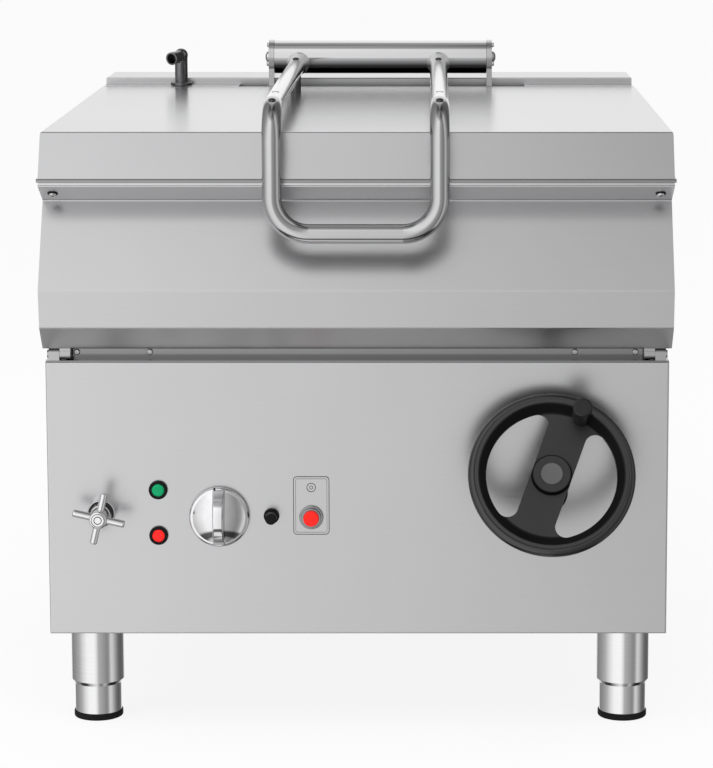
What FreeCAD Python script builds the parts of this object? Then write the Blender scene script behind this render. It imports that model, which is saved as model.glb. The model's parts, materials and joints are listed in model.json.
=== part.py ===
import FreeCAD, Part
import math
import os

# Tilting skillet: a floor-standing braising pan that a handwheel tilts forward.
# Lengths in millimetres. X to the right, Y to the back, Z up, floor at Z 0, origin under the middle.
os.makedirs("parts", exist_ok=True)

# Cabinet
width = 800.0
depth = 880.0
front_y = -383.5
panel_bottom = 138.0
deck_top = 498.0
sheet = 1.5
thick_sheet = 2.0
bend = 2.0
return_flange = 20.0
side_return = 10.0
seam_gap = 0.5
deck_seam = 1.0
deck_margin = 0.5
deck_lap = 0.2
frame_gap = 1.0
frame_tube = 30.0
frame_wall = 2.0
frame_drop = 0.1
beam_width = 80.0
brace_width = 40.0
brace_height = 12.0
brace_pitch = 210.0
brace_gap = 20.0
strip_y = 24.0
strip_gap = 1.2
strip_margin = 6.0
slot_half = 45.0
slot_front = 62.0
slot_rear = 302.0
collar_wall = 2.0
collar_height = 14.0
vent_height = 5.0
vent_pitch = 16.0
vent_half = 90.0
vent_rows = 5
vent_drop = 118.0

# Rear upstand
upstand_depth = 118.0
upstand_step = 3.0
upstand_rise = 10.0
ledge_depth = 36.0
ledge_lip = 24.0
recess_left = 54.0
recess_right = 58.0
louvre_half = 16.0
louvre_height = 6.0
louvre_pitch = 52.0
louvre_margin = 88.0
louvre_drop = 81.0

# Legs
leg_side = 50.0
leg_inset = 100.0
sleeve_radius = 35.0
sleeve_wall = 2.5
sleeve_bottom = 47.0
sleeve_roll = 5.0
sleeve_guide = 12.0
foot_tube_radius = 31.0
foot_tube_wall = 2.0
foot_disc = 3.0
foot_overlap = 18.0
pad_radius = 32.5
pad_height = 9.0
pad_rounding = 2.0
leg_flange = 38.0

# Pan
pan_overhang = 3.0
pan_gap = 15.5
pan_height = 215.5
pan_to_rear = 158.0
lip_front = -19.0
rim_plate = 2.5
rim_seat = 0.1
apron_seat = 2.0
band_inner = 27.0
band_drop = 27.0
bulge_top_y = -37.0
bulge_top_rise = 80.5
bulge_bottom_y = -30.0
bulge_bottom_rise = 31.5
apron_return = 40.0
casing_return = 22.0
rear_return = 30.0
band_screw_inset = 16.0
band_screw_radius = 5.2
rest_pad_radius = 16.0
rest_pad_inset = 100.0
rest_pad_front = 430.0
rest_pad_rear = 62.0
rest_pad_gap = 0.3
tray_height = 9.0
tray_gap = 1.0

# Tub
tub_inset = 43.0
tub_wall = 3.0
tub_rise = 34.5
tub_front = 105.0
tub_rear_gap = 40.0
tub_corner = 34.0
plate_thickness = 12.0
plate_inset = 45.0
plate_corner = 20.0
lip_clearance = 0.4
heater_radius = 4.2
heater_gap = 0.1
heater_half = 60.0
heater_margin = 150.0
heater_front = 115.0
heater_rear = 22.0

# Tilt hinge and drive
tilt_y = 8.0
tilt_rise = 7.6
tilt_pin_radius = 5.0
knuckle_radius = 7.3
knuckle_gap = 0.4
running_gap = 0.05
bracket_inset = 4.0
bracket_length = 14.0
bracket_back = 12.0
lug_half = 6.0
drive_y = 120.0
wheel_y = -75.0
wheel_inset = 153.0
wheel_drop = 133.4
wheel_slope_degrees = 27.0
clevis_drop_degrees = 5.0
shaft_radius = 10.0
shaft_collar_radius = 19.0
shaft_collar_length = 16.0
shaft_hole_radius = 24.2
sleeve_bush_radius = 20.0
sleeve_bush_length = 46.0
sleeve_bush_rear = 40.0
sleeve_plate_half = 40.0
sleeve_plate_front = 34.0
sleeve_plate_thickness = 6.0
sleeve_plate_drop = 24.6
sleeve_foot = 36.0
gearbox_half = 34.0
gearbox_corner = 6.0
gearbox_boss = 22.0
gearbox_flange = 45.0
gearbox_socket = 20.0
pedestal_x = 62.0
pedestal_half = 8.0
pedestal_head = 20.0
jack_radius = 27.0
jack_head_radius = 34.0
jack_head_half = 42.0
jack_eye_radius = 16.0
jack_eye_half = 14.0
stage_radius = 18.0
rod_radius = 11.0
clevis_pin_radius = 6.0
clevis_gap = 0.5
clevis_ear = 8.0

# Lid
lid_seat = 5.0
lid_height = 57.0
lid_top_front = 13.0
lid_overlap = 3.0
lid_rim_drop = 4.7
lid_hem = 2.0
hem_width = 12.0
liner_gap = 0.3
liner_thickness = 2.0
hinge_setback = 26.0
hinge_rise = 43.0
hinge_tube_radius = 25.0
hinge_tube_wall = 3.0
hinge_left = -142.0
hinge_right = 178.0
hinge_plate = 8.0
hinge_side_gap = 0.4
hinge_shaft_radius = 10.0
hinge_pad_height = 83.0
hinge_pad_thickness = 5.0
hinge_pad_side = 16.0
bush_length = 15.0
rosette_radius = 17.0
spring_radius = 17.0
spring_inner = 12.5
spring_margin = 30.0
arm_x = 105.5
arm_rise = 35.0
handle_radius = 12.5
handle_front = -48.0
handle_drop = 61.0
handle_bend = 46.0
handle_wall = 2.0
fixing_front = 60.0
fixing_rear = 85.0
fixing_radius = 7.5
fixing_head = 4.6
fixing_head_height = 1.6

# Handwheel
wheel_radius = 106.0
rim_inner = 83.0
rim_shoulder = 91.0
rim_front = 9.0
rim_back = 9.0
rim_dish = -1.0
bead_inner = 97.5
web_thickness = 7.0
web_back = -8.0
spoke_half_width = 25.5
spoke_angle = 70.0
window_corner = 13.5
hub_radius = 25.0
hub_front = 6.0
hub_back = -28.0
hub_groove = 1.4
cap_radius = 14.0
cap_height = 3.2
cap_seat_depth = 2.0
grip_radius = 12.5
grip_length = 36.0
grip_seat = 10.5
grip_boss = 11.0
grip_shoulder = 9.0
grip_pin_radius = 4.0
grip_orbit = 84.0
grip_angle = 63.0

# Controls on the panel
tap_inset = 70.2
tap_drop = 197.0
tap_hub_radius = 11.5
tap_hub_front = 56.0
tap_hub_back = 30.0
tap_rod_radius = 4.8
tap_rod_reach = 34.0
tap_rod_turn = 13.0
tap_spindle_radius = 4.0
bonnet_radius = 13.0
collar_radius = 18.0
valve_radius = 19.0
valve_throat = 12.0
hole_gap = 0.5
port_radius = 10.0
port_reach = 34.0
port_depth = 44.0
lamp_step = 72.5
lamp_drop = 169.0
lamp_pitch = 60.0
lamp_bezel = 12.2
lamp_barrel = 10.0
lamp_gap = 0.2
lens_radius = 8.0
lens_gap = 0.05
knob_step = 78.6
knob_drop = 203.7
knob_radius = 39.0
knob_skirt = 9.0
knob_gap = 3.4
knob_cheek_radius = 90.0
knob_arch_radius = 37.5
knob_reach = 37.0
knob_grip = 8.5
knob_spindle = 3.0
knob_hole = 7.5
regulator_half = 24.0
regulator_collar = 7.2
reset_step = 67.3
reset_drop = 203.3
reset_bezel = 10.1
reset_cap = 7.4
reset_barrel = 6.0
reset_stem = 4.0
button_step = 51.4
button_drop = 205.0
button_bezel = 15.5
button_collar = 12.8
button_cap = 10.0
button_barrel = 11.0
button_stem = 3.5
button_gap = 0.35
plate_lift = 15.3
plate_width = 47.0
plate_height = 77.0
plate_rounding = 5.0
button_plate_thickness = 0.8

# Services
inlet_x = -250.0
inlet_radius = 10.5
inlet_lift = 77.0
inlet_reach = 20.0
inlet_collar = 14.0
pipe_radius = 8.0
pipe_bend = 24.0
pipe_run = 60.0
gland_x = 250.0
gland_radius = 12.0
gland_nut = 16.0
gland_bore = 7.0
switch_left = -150.0
switch_right = 60.0
switch_setback = 320.0
switch_depth = 140.0
switch_height = 170.0

# Swivel spout
spout_inset = 116.0
spout_setback = 19.0
spout_radius = 9.7
spout_rise = 56.0
spout_bore = 7.5
spout_reach = 28.0
spout_yaw = 27.0
spout_socket = 16.0
socket_flange = 16.5
socket_radius = 12.0
feed_radius = 8.0
feed_length = 231.0

half = width / 2
rear_y = depth
cover_top = deck_top - thick_sheet
leg_x = half - leg_side
pan_half = half + pan_overhang
pan_rear = depth - pan_to_rear
pan_bottom = deck_top + pan_gap
rim_z = pan_bottom + pan_height
casing_top = rim_z - rim_plate - rim_seat
apron_top = casing_top - apron_seat
band_bottom = rim_z - band_drop
bulge_top_z = pan_bottom + bulge_top_rise
bulge_bottom_z = pan_bottom + bulge_bottom_rise
tub_half_width = pan_half - tub_inset
tub_floor = pan_bottom + tub_rise
tub_rear = pan_rear - tub_rear_gap
tilt_z = deck_top + tilt_rise
bracket_outer = half - bracket_inset
bracket_inner = bracket_outer - bracket_length
wheel_x = half - wheel_inset
wheel_z = deck_top - wheel_drop
slope = math.radians(wheel_slope_degrees)
lid_rim_z = rim_z + lid_seat
lid_top = lid_rim_z + lid_height
lid_rear = pan_rear + lid_overlap
hinge_y = pan_rear + hinge_setback
hinge_z = lid_top + hinge_rise
arm_z = lid_top + arm_rise
handle_bottom = rim_z - handle_drop
fixing_depths = (fixing_front, lid_rear - fixing_rear)
upstand_front = rear_y - upstand_depth + upstand_step
ledge_top = lid_top
upstand_top = ledge_top + upstand_rise
ledge_recess_left = hinge_left - recess_left
ledge_recess_right = hinge_right + recess_right
spout_x = spout_inset - half
spout_y = upstand_front - spout_setback
spout_top = ledge_top + spout_rise
tap_x = tap_inset - half
lamp_x = tap_x + lamp_step
knob_x = lamp_x + knob_step
reset_x = knob_x + reset_step
button_x = reset_x + button_step
tap_z = deck_top - tap_drop
lamp_z = deck_top - lamp_drop
knob_z = deck_top - knob_drop
reset_z = deck_top - reset_drop
button_z = deck_top - button_drop
plate_z = button_z + plate_lift
inlet_z = panel_bottom + inlet_lift
frame_x = half - sheet - frame_gap
frame_front = sheet + frame_gap
frame_rear = rear_y - sheet - frame_gap
beam_y0 = drive_y - beam_width / 2
beam_y1 = drive_y + beam_width / 2
floor_top = panel_bottom + sheet + thick_sheet
beam_top = floor_top + frame_tube
screw_seat = arm_z + handle_radius - fixing_head_height
X_AXIS = FreeCAD.Vector(1, 0, 0)
Y_AXIS = FreeCAD.Vector(0, 1, 0)
Z_AXIS = FreeCAD.Vector(0, 0, 1)


def point(x, y, z):
    """A point given by its depth behind the front panel's face."""
    return FreeCAD.Vector(x, front_y + y, z)


def save(name, solids):
    """Write one node: a single solid or a group of separate solids."""
    shape = solids[0] if len(solids) == 1 else Part.makeCompound(solids)
    shape.exportStep("parts/" + name + ".step")


def box(x0, x1, y0, y1, z0, z1):
    return Part.makeBox(x1 - x0, y1 - y0, z1 - z0, point(x0, y0, z0))


def rod(radius, start, end):
    """A round bar between two points."""
    axis = end.sub(start)
    return Part.makeCylinder(radius, axis.Length, start, axis)


def tube(outer, inner, start, end):
    return rod(outer, start, end).cut(rod(inner, start, end))


def fuse(first, *others):
    return first.multiFuse(list(others)).removeSplitter()


def side_profile(outline, x0, x1):
    """Extrude a closed outline of (depth, height) points across the object."""
    wire = Part.makePolygon([point(x0, y, z) for y, z in outline + outline[:1]])
    return Part.Face(wire).extrude(FreeCAD.Vector(x1 - x0, 0, 0))


def folded_sheet(outline, thickness, x0, x1, radius=bend):
    """A sheet folded along X: an open line of (depth, height) points, thickened to its left."""
    corners = [FreeCAD.Vector(0, y, z) for y, z in outline]
    runs = [b.sub(a).normalize() for a, b in zip(corners, corners[1:])]
    normals = [FreeCAD.Vector(0, -run.z, run.y) for run in runs]
    near = []
    far = []
    start_near = corners[0]
    start_far = corners[0] + normals[0] * thickness
    for i in range(1, len(corners) - 1):
        turn = runs[i - 1].y * runs[i].z - runs[i - 1].z * runs[i].y
        side = 1 if turn > 0 else -1
        angle = runs[i - 1].getAngle(runs[i])
        near_radius = radius + thickness if side > 0 else radius
        setback = near_radius * math.tan(angle / 2)
        arc_start = corners[i] - runs[i - 1] * setback
        arc_end = corners[i] + runs[i] * setback
        centre = arc_start + normals[i - 1] * near_radius * side
        middle = (normals[i - 1] + normals[i]).normalize() * -side
        far_radius = near_radius - thickness * side
        near += [Part.makeLine(start_near, arc_start),
                 Part.Arc(arc_start, centre + middle * near_radius, arc_end).toShape()]
        far_start = arc_start + normals[i - 1] * thickness
        far_end = arc_end + normals[i] * thickness
        far += [Part.makeLine(start_far, far_start),
                Part.Arc(far_start, centre + middle * far_radius, far_end).toShape()]
        start_near = arc_end
        start_far = far_end
    last_far = corners[-1] + normals[-1] * thickness
    near.append(Part.makeLine(start_near, corners[-1]))
    far.append(Part.makeLine(start_far, last_far))
    caps = [Part.makeLine(corners[-1], last_far),
            Part.makeLine(corners[0], corners[0] + normals[0] * thickness)]
    wire = Part.Wire(Part.__sortEdges__(near + far + caps))
    sheet_solid = Part.Face(wire).extrude(FreeCAD.Vector(x1 - x0, 0, 0))
    sheet_solid.translate(point(x0, 0, 0))
    return sheet_solid


def tray(x0, x1, y0, y1, z0, z1, thickness, open_side):
    """A folded tray: a box with rounded folds, hollowed from one side: 'front', 'rear', 'top' or 'bottom'."""
    inner = {"x0": x0 + thickness, "x1": x1 - thickness, "y0": y0 + thickness,
             "y1": y1 - thickness, "z0": z0 + thickness, "z1": z1 - thickness}
    key, limit, across, base = {"front": ("y0", y0 - 1, "y", y1), "rear": ("y1", y1 + 1, "y", y0),
                                "top": ("z1", z1 + 1, "z", z0), "bottom": ("z0", z0 - 1, "z", z1)}[open_side]
    inner[key] = limit
    block = box(x0, x1, y0, y1, z0, z1)
    at = base + front_y if across == "y" else base
    folds = []
    for edge in block.Edges:
        centre = edge.CenterOfMass.y if across == "y" else edge.CenterOfMass.z
        if abs(centre - at) < 0.01:
            folds.append(edge)
    block = block.makeFillet(thickness + 0.5, folds)
    return block.cut(box(inner["x0"], inner["x1"], inner["y0"], inner["y1"], inner["z0"], inner["z1"]))


def panel_hole(x, z, radius):
    return rod(radius, point(x, -5, z), point(x, 10, z))


def screw_head(at, outward, radius=4.6, height=3.4, key=2.0):
    """A low button head with a hexagon socket, standing on its seat."""
    direction = FreeCAD.Vector(outward).normalize()
    head = Part.makeCylinder(radius, height, at, direction)
    rim = [edge for edge in head.Edges if (edge.CenterOfMass.sub(at)).Length > height * 0.9
           and edge.Curve.TypeId == "Part::GeomCircle"]
    head = head.makeFillet(height * 0.45, rim)
    side = direction.cross(X_AXIS if abs(direction.x) < 0.9 else Y_AXIS).normalize()
    up = direction.cross(side)
    top = at + direction * (height + 0.5)
    corners = []
    for i in range(7):
        turn = math.radians(60 * i)
        corners.append(top + side * (key * math.cos(turn)) + up * (key * math.sin(turn)))
    socket = Part.Face(Part.makePolygon(corners)).extrude(direction * -(height * 0.6 + 0.5))
    return head.cut(socket)


# The drive's geometry. The jack's foot pivot lies on the handwheel's inclined shaft, and its upper
# pivot on the pan is as far from the tilt axis as that foot pivot, so the jack always turns by
# exactly half of the pan's tilt.
shaft_out = FreeCAD.Vector(0, -math.cos(slope), math.sin(slope))
wheel_centre = point(wheel_x, wheel_y, wheel_z)
drive_z = wheel_z - (drive_y - wheel_y) * math.tan(slope)
jack_foot = point(0, drive_y, drive_z)
tilt_centre = point(0, tilt_y, tilt_z)
jack_arm = jack_foot.sub(tilt_centre).Length
clevis_angle = math.radians(clevis_drop_degrees)
clevis_centre = tilt_centre + FreeCAD.Vector(
    0, jack_arm * math.cos(clevis_angle), -jack_arm * math.sin(clevis_angle))
jack_axis = clevis_centre.sub(jack_foot).normalize()
jack_length = clevis_centre.sub(jack_foot).Length
jack_top = jack_length - 32
stage_top = jack_length - 22


def front_panel():
    """Brushed front sheet folded back on all four sides, pierced for every control."""
    panel = tray(-half, half, 0, return_flange, panel_bottom, cover_top, sheet, "rear")
    shaft_exit = wheel_centre - shaft_out * ((0 - wheel_y) / math.cos(slope))
    holes = [panel_hole(tap_x, tap_z, valve_throat + hole_gap), panel_hole(knob_x, knob_z, knob_hole),
             panel_hole(lamp_x, lamp_z, lamp_barrel + lamp_gap),
             panel_hole(lamp_x, lamp_z - lamp_pitch, lamp_barrel + lamp_gap),
             panel_hole(reset_x, reset_z, reset_barrel + lamp_gap),
             panel_hole(button_x, button_z, button_barrel + lamp_gap),
             rod(shaft_hole_radius, shaft_exit + shaft_out * 30, shaft_exit - shaft_out * 30)]
    return panel.cut(Part.makeCompound(holes))


def side_panel(side):
    """Side sheet folded inwards along its top and bottom edges."""
    x0, x1 = sorted((side * half, side * (half - side_return)))
    core_x0, core_x1 = sorted((side * (half - sheet), side * (half - side_return - 1)))
    start = return_flange + seam_gap
    top = cover_top
    block = box(x0, x1, start, rear_y - 1, panel_bottom, top)
    folds = [e for e in block.Edges if e.BoundBox.YLength > 100 and abs(abs(e.CenterOfMass.x) - half) < 0.01]
    block = block.makeFillet(bend, folds)
    return block.cut(box(core_x0, core_x1, start - 1, rear_y, panel_bottom + sheet, top - sheet))


def rear_panel():
    """Removable back sheet with an inlet hole, a gland hole and rows of vent slots."""
    panel = box(-half, half, rear_y - 1, rear_y - 1 + sheet, panel_bottom, cover_top)
    cuts = [rod(inlet_radius + 0.3, point(inlet_x, rear_y - 10, inlet_z), point(inlet_x, rear_y + 10, inlet_z)),
            rod(gland_radius + 0.2, point(gland_x, rear_y - 10, inlet_z), point(gland_x, rear_y + 10, inlet_z))]
    for row in range(vent_rows):
        z = deck_top - vent_drop + row * vent_pitch
        cuts.append(box(-vent_half, vent_half, rear_y - 10, rear_y + 10, z, z + vent_height))
    return panel.cut(Part.makeCompound(cuts))


def chassis():
    """Welded frame: floor sheet, corner posts, top rails and a cross beam under the jack."""
    floor = tray(-frame_x, frame_x, frame_front, frame_rear, panel_bottom + sheet,
                 panel_bottom + sheet + frame_tube, thick_sheet, "top")
    base = floor_top
    top = cover_top - sheet - frame_drop
    pieces = [floor]
    for sx in (-1, 1):
        for y0 in (frame_front, frame_rear - frame_tube):
            x0, x1 = sorted((sx * frame_x, sx * (frame_x - frame_tube)))
            post = box(x0, x1, y0, y0 + frame_tube, base - 1, top)
            core = box(x0 + frame_wall, x1 - frame_wall, y0 + frame_wall, y0 + frame_tube - frame_wall,
                       base, top + 1)
            pieces.append(post.cut(core))
        rail = box(x0, x1, frame_front + frame_tube - 0.5, frame_rear - frame_tube + 0.5,
                   top - frame_tube, top)
        pieces.append(rail.cut(box(x0 + frame_wall, x1 - frame_wall, frame_front, frame_rear,
                                   top - frame_tube + frame_wall, top - frame_wall)))
    beam = box(-frame_x + 1, frame_x - 1, beam_y0, beam_y1, base - 1, base + frame_tube)
    pieces.append(beam.cut(box(-half, half, beam_y0 + frame_wall, beam_y1 - frame_wall,
                               base, base + frame_tube - frame_wall)))
    for y0 in (beam_y0 + brace_pitch, rear_y - switch_setback - brace_width - brace_gap):
        pieces.append(box(-frame_x + 1, frame_x - 1, y0, y0 + brace_width, base - 1, base + brace_height))
    return fuse(*pieces)


def top_deck():
    """Polished deck over the cabinet, with an upright strip behind the gap and the jack's slot."""
    deck = box(-half + deck_margin, half - deck_margin, deck_lap, upstand_front - upstand_step - deck_seam,
               cover_top, deck_top)
    strip = box(-bracket_inner + strip_margin, bracket_inner - strip_margin, strip_y, strip_y + thick_sheet,
                deck_top - 0.5, pan_bottom - strip_gap)
    slot = box(-slot_half, slot_half, slot_front, slot_rear, deck_top - 10, deck_top + 10)
    collar = tray(-slot_half - collar_wall, slot_half + collar_wall, slot_front - collar_wall,
                  slot_rear + collar_wall, deck_top - collar_height, deck_top, collar_wall, "top")
    collar = collar.cut(box(-slot_half, slot_half, slot_front, slot_rear, deck_top - collar_height - 6,
                            deck_top + 5))
    return fuse(deck.cut(slot), strip, collar)


def rear_upstand():
    """Boxed column across the back, with a lower ledge that is cut away for the lid's hinge."""
    front = upstand_front
    column = box(-half, half, front, rear_y + 1, cover_top, upstand_top)
    column = column.makeFillet(bend, [e for e in column.Edges if e.BoundBox.ZMin > upstand_top - 1])
    hollow = box(-half + sheet, half - sheet, front + sheet, rear_y + 1 - sheet,
                 deck_top - 20, upstand_top - sheet)
    vents = []
    louvres = int((width - 2 * louvre_margin) / louvre_pitch)
    z = upstand_top - louvre_drop
    for i in range(louvres):
        x = (i - (louvres - 1) / 2) * louvre_pitch
        vents.append(box(x - louvre_half, x + louvre_half, rear_y - 10, rear_y + 10, z, z + louvre_height))
    shell = column.cut(hollow).cut(Part.makeCompound(vents))
    pieces = [shell]
    spout_hole = rod(socket_radius + 0.3, point(spout_x, spout_y, ledge_top - 10),
                     point(spout_x, spout_y, ledge_top + 10))
    for x0, x1 in ((-half, ledge_recess_left), (ledge_recess_right, half)):
        outline = [(front - ledge_depth, ledge_top - ledge_lip), (front - ledge_depth, ledge_top),
                   (front + 0.5, ledge_top)]
        pieces.append(folded_sheet(outline[::-1], sheet, x0, x1))
    return fuse(*pieces).cut(spout_hole)


def leg_sleeves():
    """Four fixed sleeves with a mounting flange above and an edge rolled in below."""
    sleeves = []
    for x, y in leg_places:
        foot = point(x, y, 0)
        shell = Part.makeCylinder(sleeve_radius, panel_bottom - sleeve_bottom - sleeve_roll,
                                  foot + Z_AXIS * (sleeve_bottom + sleeve_roll))
        roll = Part.makeCone(sleeve_radius - 3, sleeve_radius, sleeve_roll, foot + Z_AXIS * sleeve_bottom)
        bore = Part.makeCylinder(foot_tube_radius + running_gap, 200, foot)
        flange = box(x - leg_flange, x + leg_flange, y - leg_flange, y + leg_flange,
                     panel_bottom - 0.6, panel_bottom + sheet)
        core = Part.makeCylinder(sleeve_radius - sleeve_wall, panel_bottom - sleeve_bottom - sleeve_guide,
                                 foot + Z_AXIS * (sleeve_bottom + sleeve_guide))
        sleeves.append(fuse(shell, roll, flange).cut(bore).cut(core))
    return sleeves


def foot(x, y):
    """Height-adjustable foot: inner tube and the pad that it stands on."""
    low = point(x, y, 0)
    stem = tube(foot_tube_radius, foot_tube_radius - foot_tube_wall, low + Z_AXIS * pad_height,
                low + Z_AXIS * (panel_bottom - foot_overlap))
    end_disc = Part.makeCylinder(foot_tube_radius - 1, foot_disc, low + Z_AXIS * pad_height)
    pad = Part.makeCylinder(pad_radius, pad_height, low)
    pad = pad.makeFillet(pad_rounding, [e for e in pad.Edges if e.Curve.TypeId == "Part::GeomCircle"])
    return [fuse(stem, end_disc), pad]


leg_places = [(-leg_x, leg_inset), (leg_x, leg_inset),
              (-leg_x, depth - leg_inset), (leg_x, depth - leg_inset)]

save("front_panel", [front_panel()])
save("side_panels", [side_panel(-1), side_panel(1)])
save("rear_panel", [rear_panel()])
save("chassis", [chassis()])
save("top_deck", [top_deck()])
save("rear_upstand", [rear_upstand()])
save("leg_sleeves", leg_sleeves())
for place, label in zip(leg_places, ("front_left", "front_right", "rear_left", "rear_right")):
    save("foot_" + label, foot(*place))


def deck_screws():
    """Four button-head screws through the deck's upright strip."""
    z = (deck_top + pan_bottom) / 2 - 0.4
    places = (-half + 38, -half + 132, half - 120, half - 42)
    return [screw_head(point(x, strip_y, z), (0, -1, 0), 4.0, 3.0, 1.7) for x in places]


def tilt_brackets():
    """Two bearing blocks on the deck's front corners, bored for the tilt pins."""
    blocks = []
    for side in (-1, 1):
        x0, x1 = sorted((side * bracket_inner, side * bracket_outer))
        block = box(x0, x1, tilt_y - knuckle_radius, tilt_y + bracket_back, deck_top, tilt_z)
        nose = rod(knuckle_radius, point(x0, tilt_y, tilt_z), point(x1, tilt_y, tilt_z))
        bore = rod(tilt_pin_radius + running_gap, point(x0 - 1, tilt_y, tilt_z),
                   point(x1 + 1, tilt_y, tilt_z))
        blocks.append(fuse(block, nose).cut(bore))
    return blocks


def tilt_pins():
    """Pan lugs with the pins that turn in the bearing blocks."""
    lugs = []
    for side in (-1, 1):
        x_in, x_out = side * (bracket_inner - bracket_length), side * (bracket_inner - knuckle_gap)
        x0, x1 = sorted((x_in, x_out))
        lug = box(x0, x1, tilt_y - lug_half, tilt_y + lug_half, tilt_z, pan_bottom)
        nose = rod(knuckle_radius, point(x0, tilt_y, tilt_z), point(x1, tilt_y, tilt_z))
        pin = rod(tilt_pin_radius, point(x_in, tilt_y, tilt_z),
                  point(side * (bracket_outer + 2), tilt_y, tilt_z))
        lugs.append(fuse(lug, nose, pin))
    return lugs


def rest_pads():
    """Rubber buffers under the pan's rear corners."""
    pads = []
    for x in (rest_pad_inset - half, half - rest_pad_inset):
        for y in (rest_pad_front, pan_rear - rest_pad_rear):
            pad = Part.makeCylinder(rest_pad_radius, pan_gap - rest_pad_gap, point(x, y, deck_top))
            pads.append(pad.makeFillet(2.5, [pad.Edges[0]]))
    return pads


save("deck_screws", deck_screws())
save("tilt_brackets", tilt_brackets())
save("tilt_pins", tilt_pins())
save("rest_pads", rest_pads())

apron_line = [(lip_front, apron_top), (band_inner, band_bottom), (bulge_top_y, bulge_top_z),
              (bulge_bottom_y, bulge_bottom_z), (0, pan_bottom), (apron_return, pan_bottom)]


def pan_front():
    """Front apron, one sheet with four folds: a band under the lip, a hollow, a bulge and a return."""
    return folded_sheet(apron_line, thick_sheet, -pan_half, pan_half)


def pan_section(x0, x1):
    """The pan casing's whole cross-section as a block."""
    outline = apron_line[:5] + [(pan_rear, pan_bottom), (pan_rear, casing_top), (lip_front + 1, casing_top)]
    return side_profile(outline, x0, x1)


def pan_casing(apron):
    """One sheet wrapped round both sides and the back of the pan, with returns along its foot."""
    pieces = []
    for side in (-1, 1):
        x0, x1 = sorted((side * pan_half, side * (pan_half - thick_sheet)))
        plate = pan_section(x0, x1).cut(apron)
        pieces.append(max(plate.Solids, key=lambda solid: solid.Volume))
        flange_x0, flange_x1 = sorted((side * (pan_half - 0.5), side * (pan_half - casing_return)))
        pieces.append(box(flange_x0, flange_x1, apron_return + 2, pan_rear - 1,
                          pan_bottom, pan_bottom + thick_sheet))
    pieces.append(box(-pan_half, pan_half, pan_rear - thick_sheet, pan_rear, pan_bottom, casing_top))
    pieces.append(box(-pan_half + 1, pan_half - 1, pan_rear - rear_return, pan_rear - 1,
                      pan_bottom, pan_bottom + thick_sheet))
    return fuse(*pieces)


def tub_body(half_width, wall):
    """Round-cornered vessel whose front wall leans out to the pouring lip above the apron's band."""
    floor = tub_floor - wall
    run = FreeCAD.Vector(0, band_inner - lip_front, band_bottom - apron_top).normalize()
    rise = FreeCAD.Vector(0, -run.z, run.y) * (thick_sheet + lip_clearance + tub_wall - wall)
    lip_out = FreeCAD.Vector(0, lip_front, apron_top) + run * 4 + rise
    lip_in = FreeCAD.Vector(0, band_inner, band_bottom) + run * 8 + rise
    outline = [(tub_front - wall, floor), (tub_rear + wall, floor), (tub_rear + wall, rim_z + 20),
               (lip_out.y, rim_z + 20), (lip_out.y, lip_out.z), (lip_in.y, lip_in.z)]
    body = side_profile(outline, -half_width - wall, half_width + wall)
    low = [e for e in body.Edges if e.BoundBox.ZMin < floor + 1 and e.BoundBox.ZMax < lip_in.z + 1]
    rear_upright = [e for e in body.Edges if e.BoundBox.YMin > front_y + tub_rear + wall - 1
                    and e.BoundBox.ZLength > 100]
    return body.makeFillet(tub_corner + wall, low + rear_upright)


def tub():
    """Deep-drawn vessel with its rim plate, open above."""
    outer = tub_body(tub_half_width, tub_wall)
    inner = tub_body(tub_half_width, 0.0)
    trim = box(-pan_half, pan_half, lip_front - 20, pan_rear + 50, rim_z - 0.01, rim_z + 60)
    rim = box(-pan_half, pan_half, lip_front, pan_rear, rim_z - rim_plate, rim_z)
    walls = outer.cut(trim)
    return fuse(walls, rim).cut(inner)


def heated_plate():
    """Thick steel plate bonded under the tub's floor."""
    top = tub_floor - tub_wall
    x = tub_half_width - plate_inset
    plate = box(-x, x, tub_front + 40, tub_rear - plate_inset, top - plate_thickness, top)
    uprights = [e for e in plate.Edges if e.BoundBox.ZLength > plate_thickness - 1
                and e.BoundBox.XLength < 1]
    return plate.makeFillet(plate_corner, uprights)


def heating_elements():
    """Three hairpin heaters clamped under the plate."""
    z = tub_floor - tub_wall - plate_thickness - heater_radius - heater_gap
    front = tub_front + heater_front
    rear = tub_rear - heater_rear
    heaters = []
    for x in (heater_margin - tub_half_width, 0, tub_half_width - heater_margin):
        left, right = x - heater_half, x + heater_half
        ends = [point(left, rear, z), point(left, front, z), point(right, front, z), point(right, rear, z)]
        bow = Part.Arc(ends[1], point(x, front - heater_half, z), ends[2]).toShape()
        path = Part.Wire([Part.makeLine(ends[0], ends[1]), bow, Part.makeLine(ends[2], ends[3])])
        section = Part.Wire([Part.makeCircle(heater_radius, ends[0], Y_AXIS)])
        heaters.append(path.makePipeShell([section], True, False))
    return heaters


def under_tray():
    """Shallow tray that closes the pan's underside below the heaters."""
    x = pan_half - casing_return - tray_gap
    return tray(-x, x, apron_return + 2, pan_rear - rear_return - tray_gap, pan_bottom,
                pan_bottom + tray_height, thick_sheet, "top")


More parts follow.
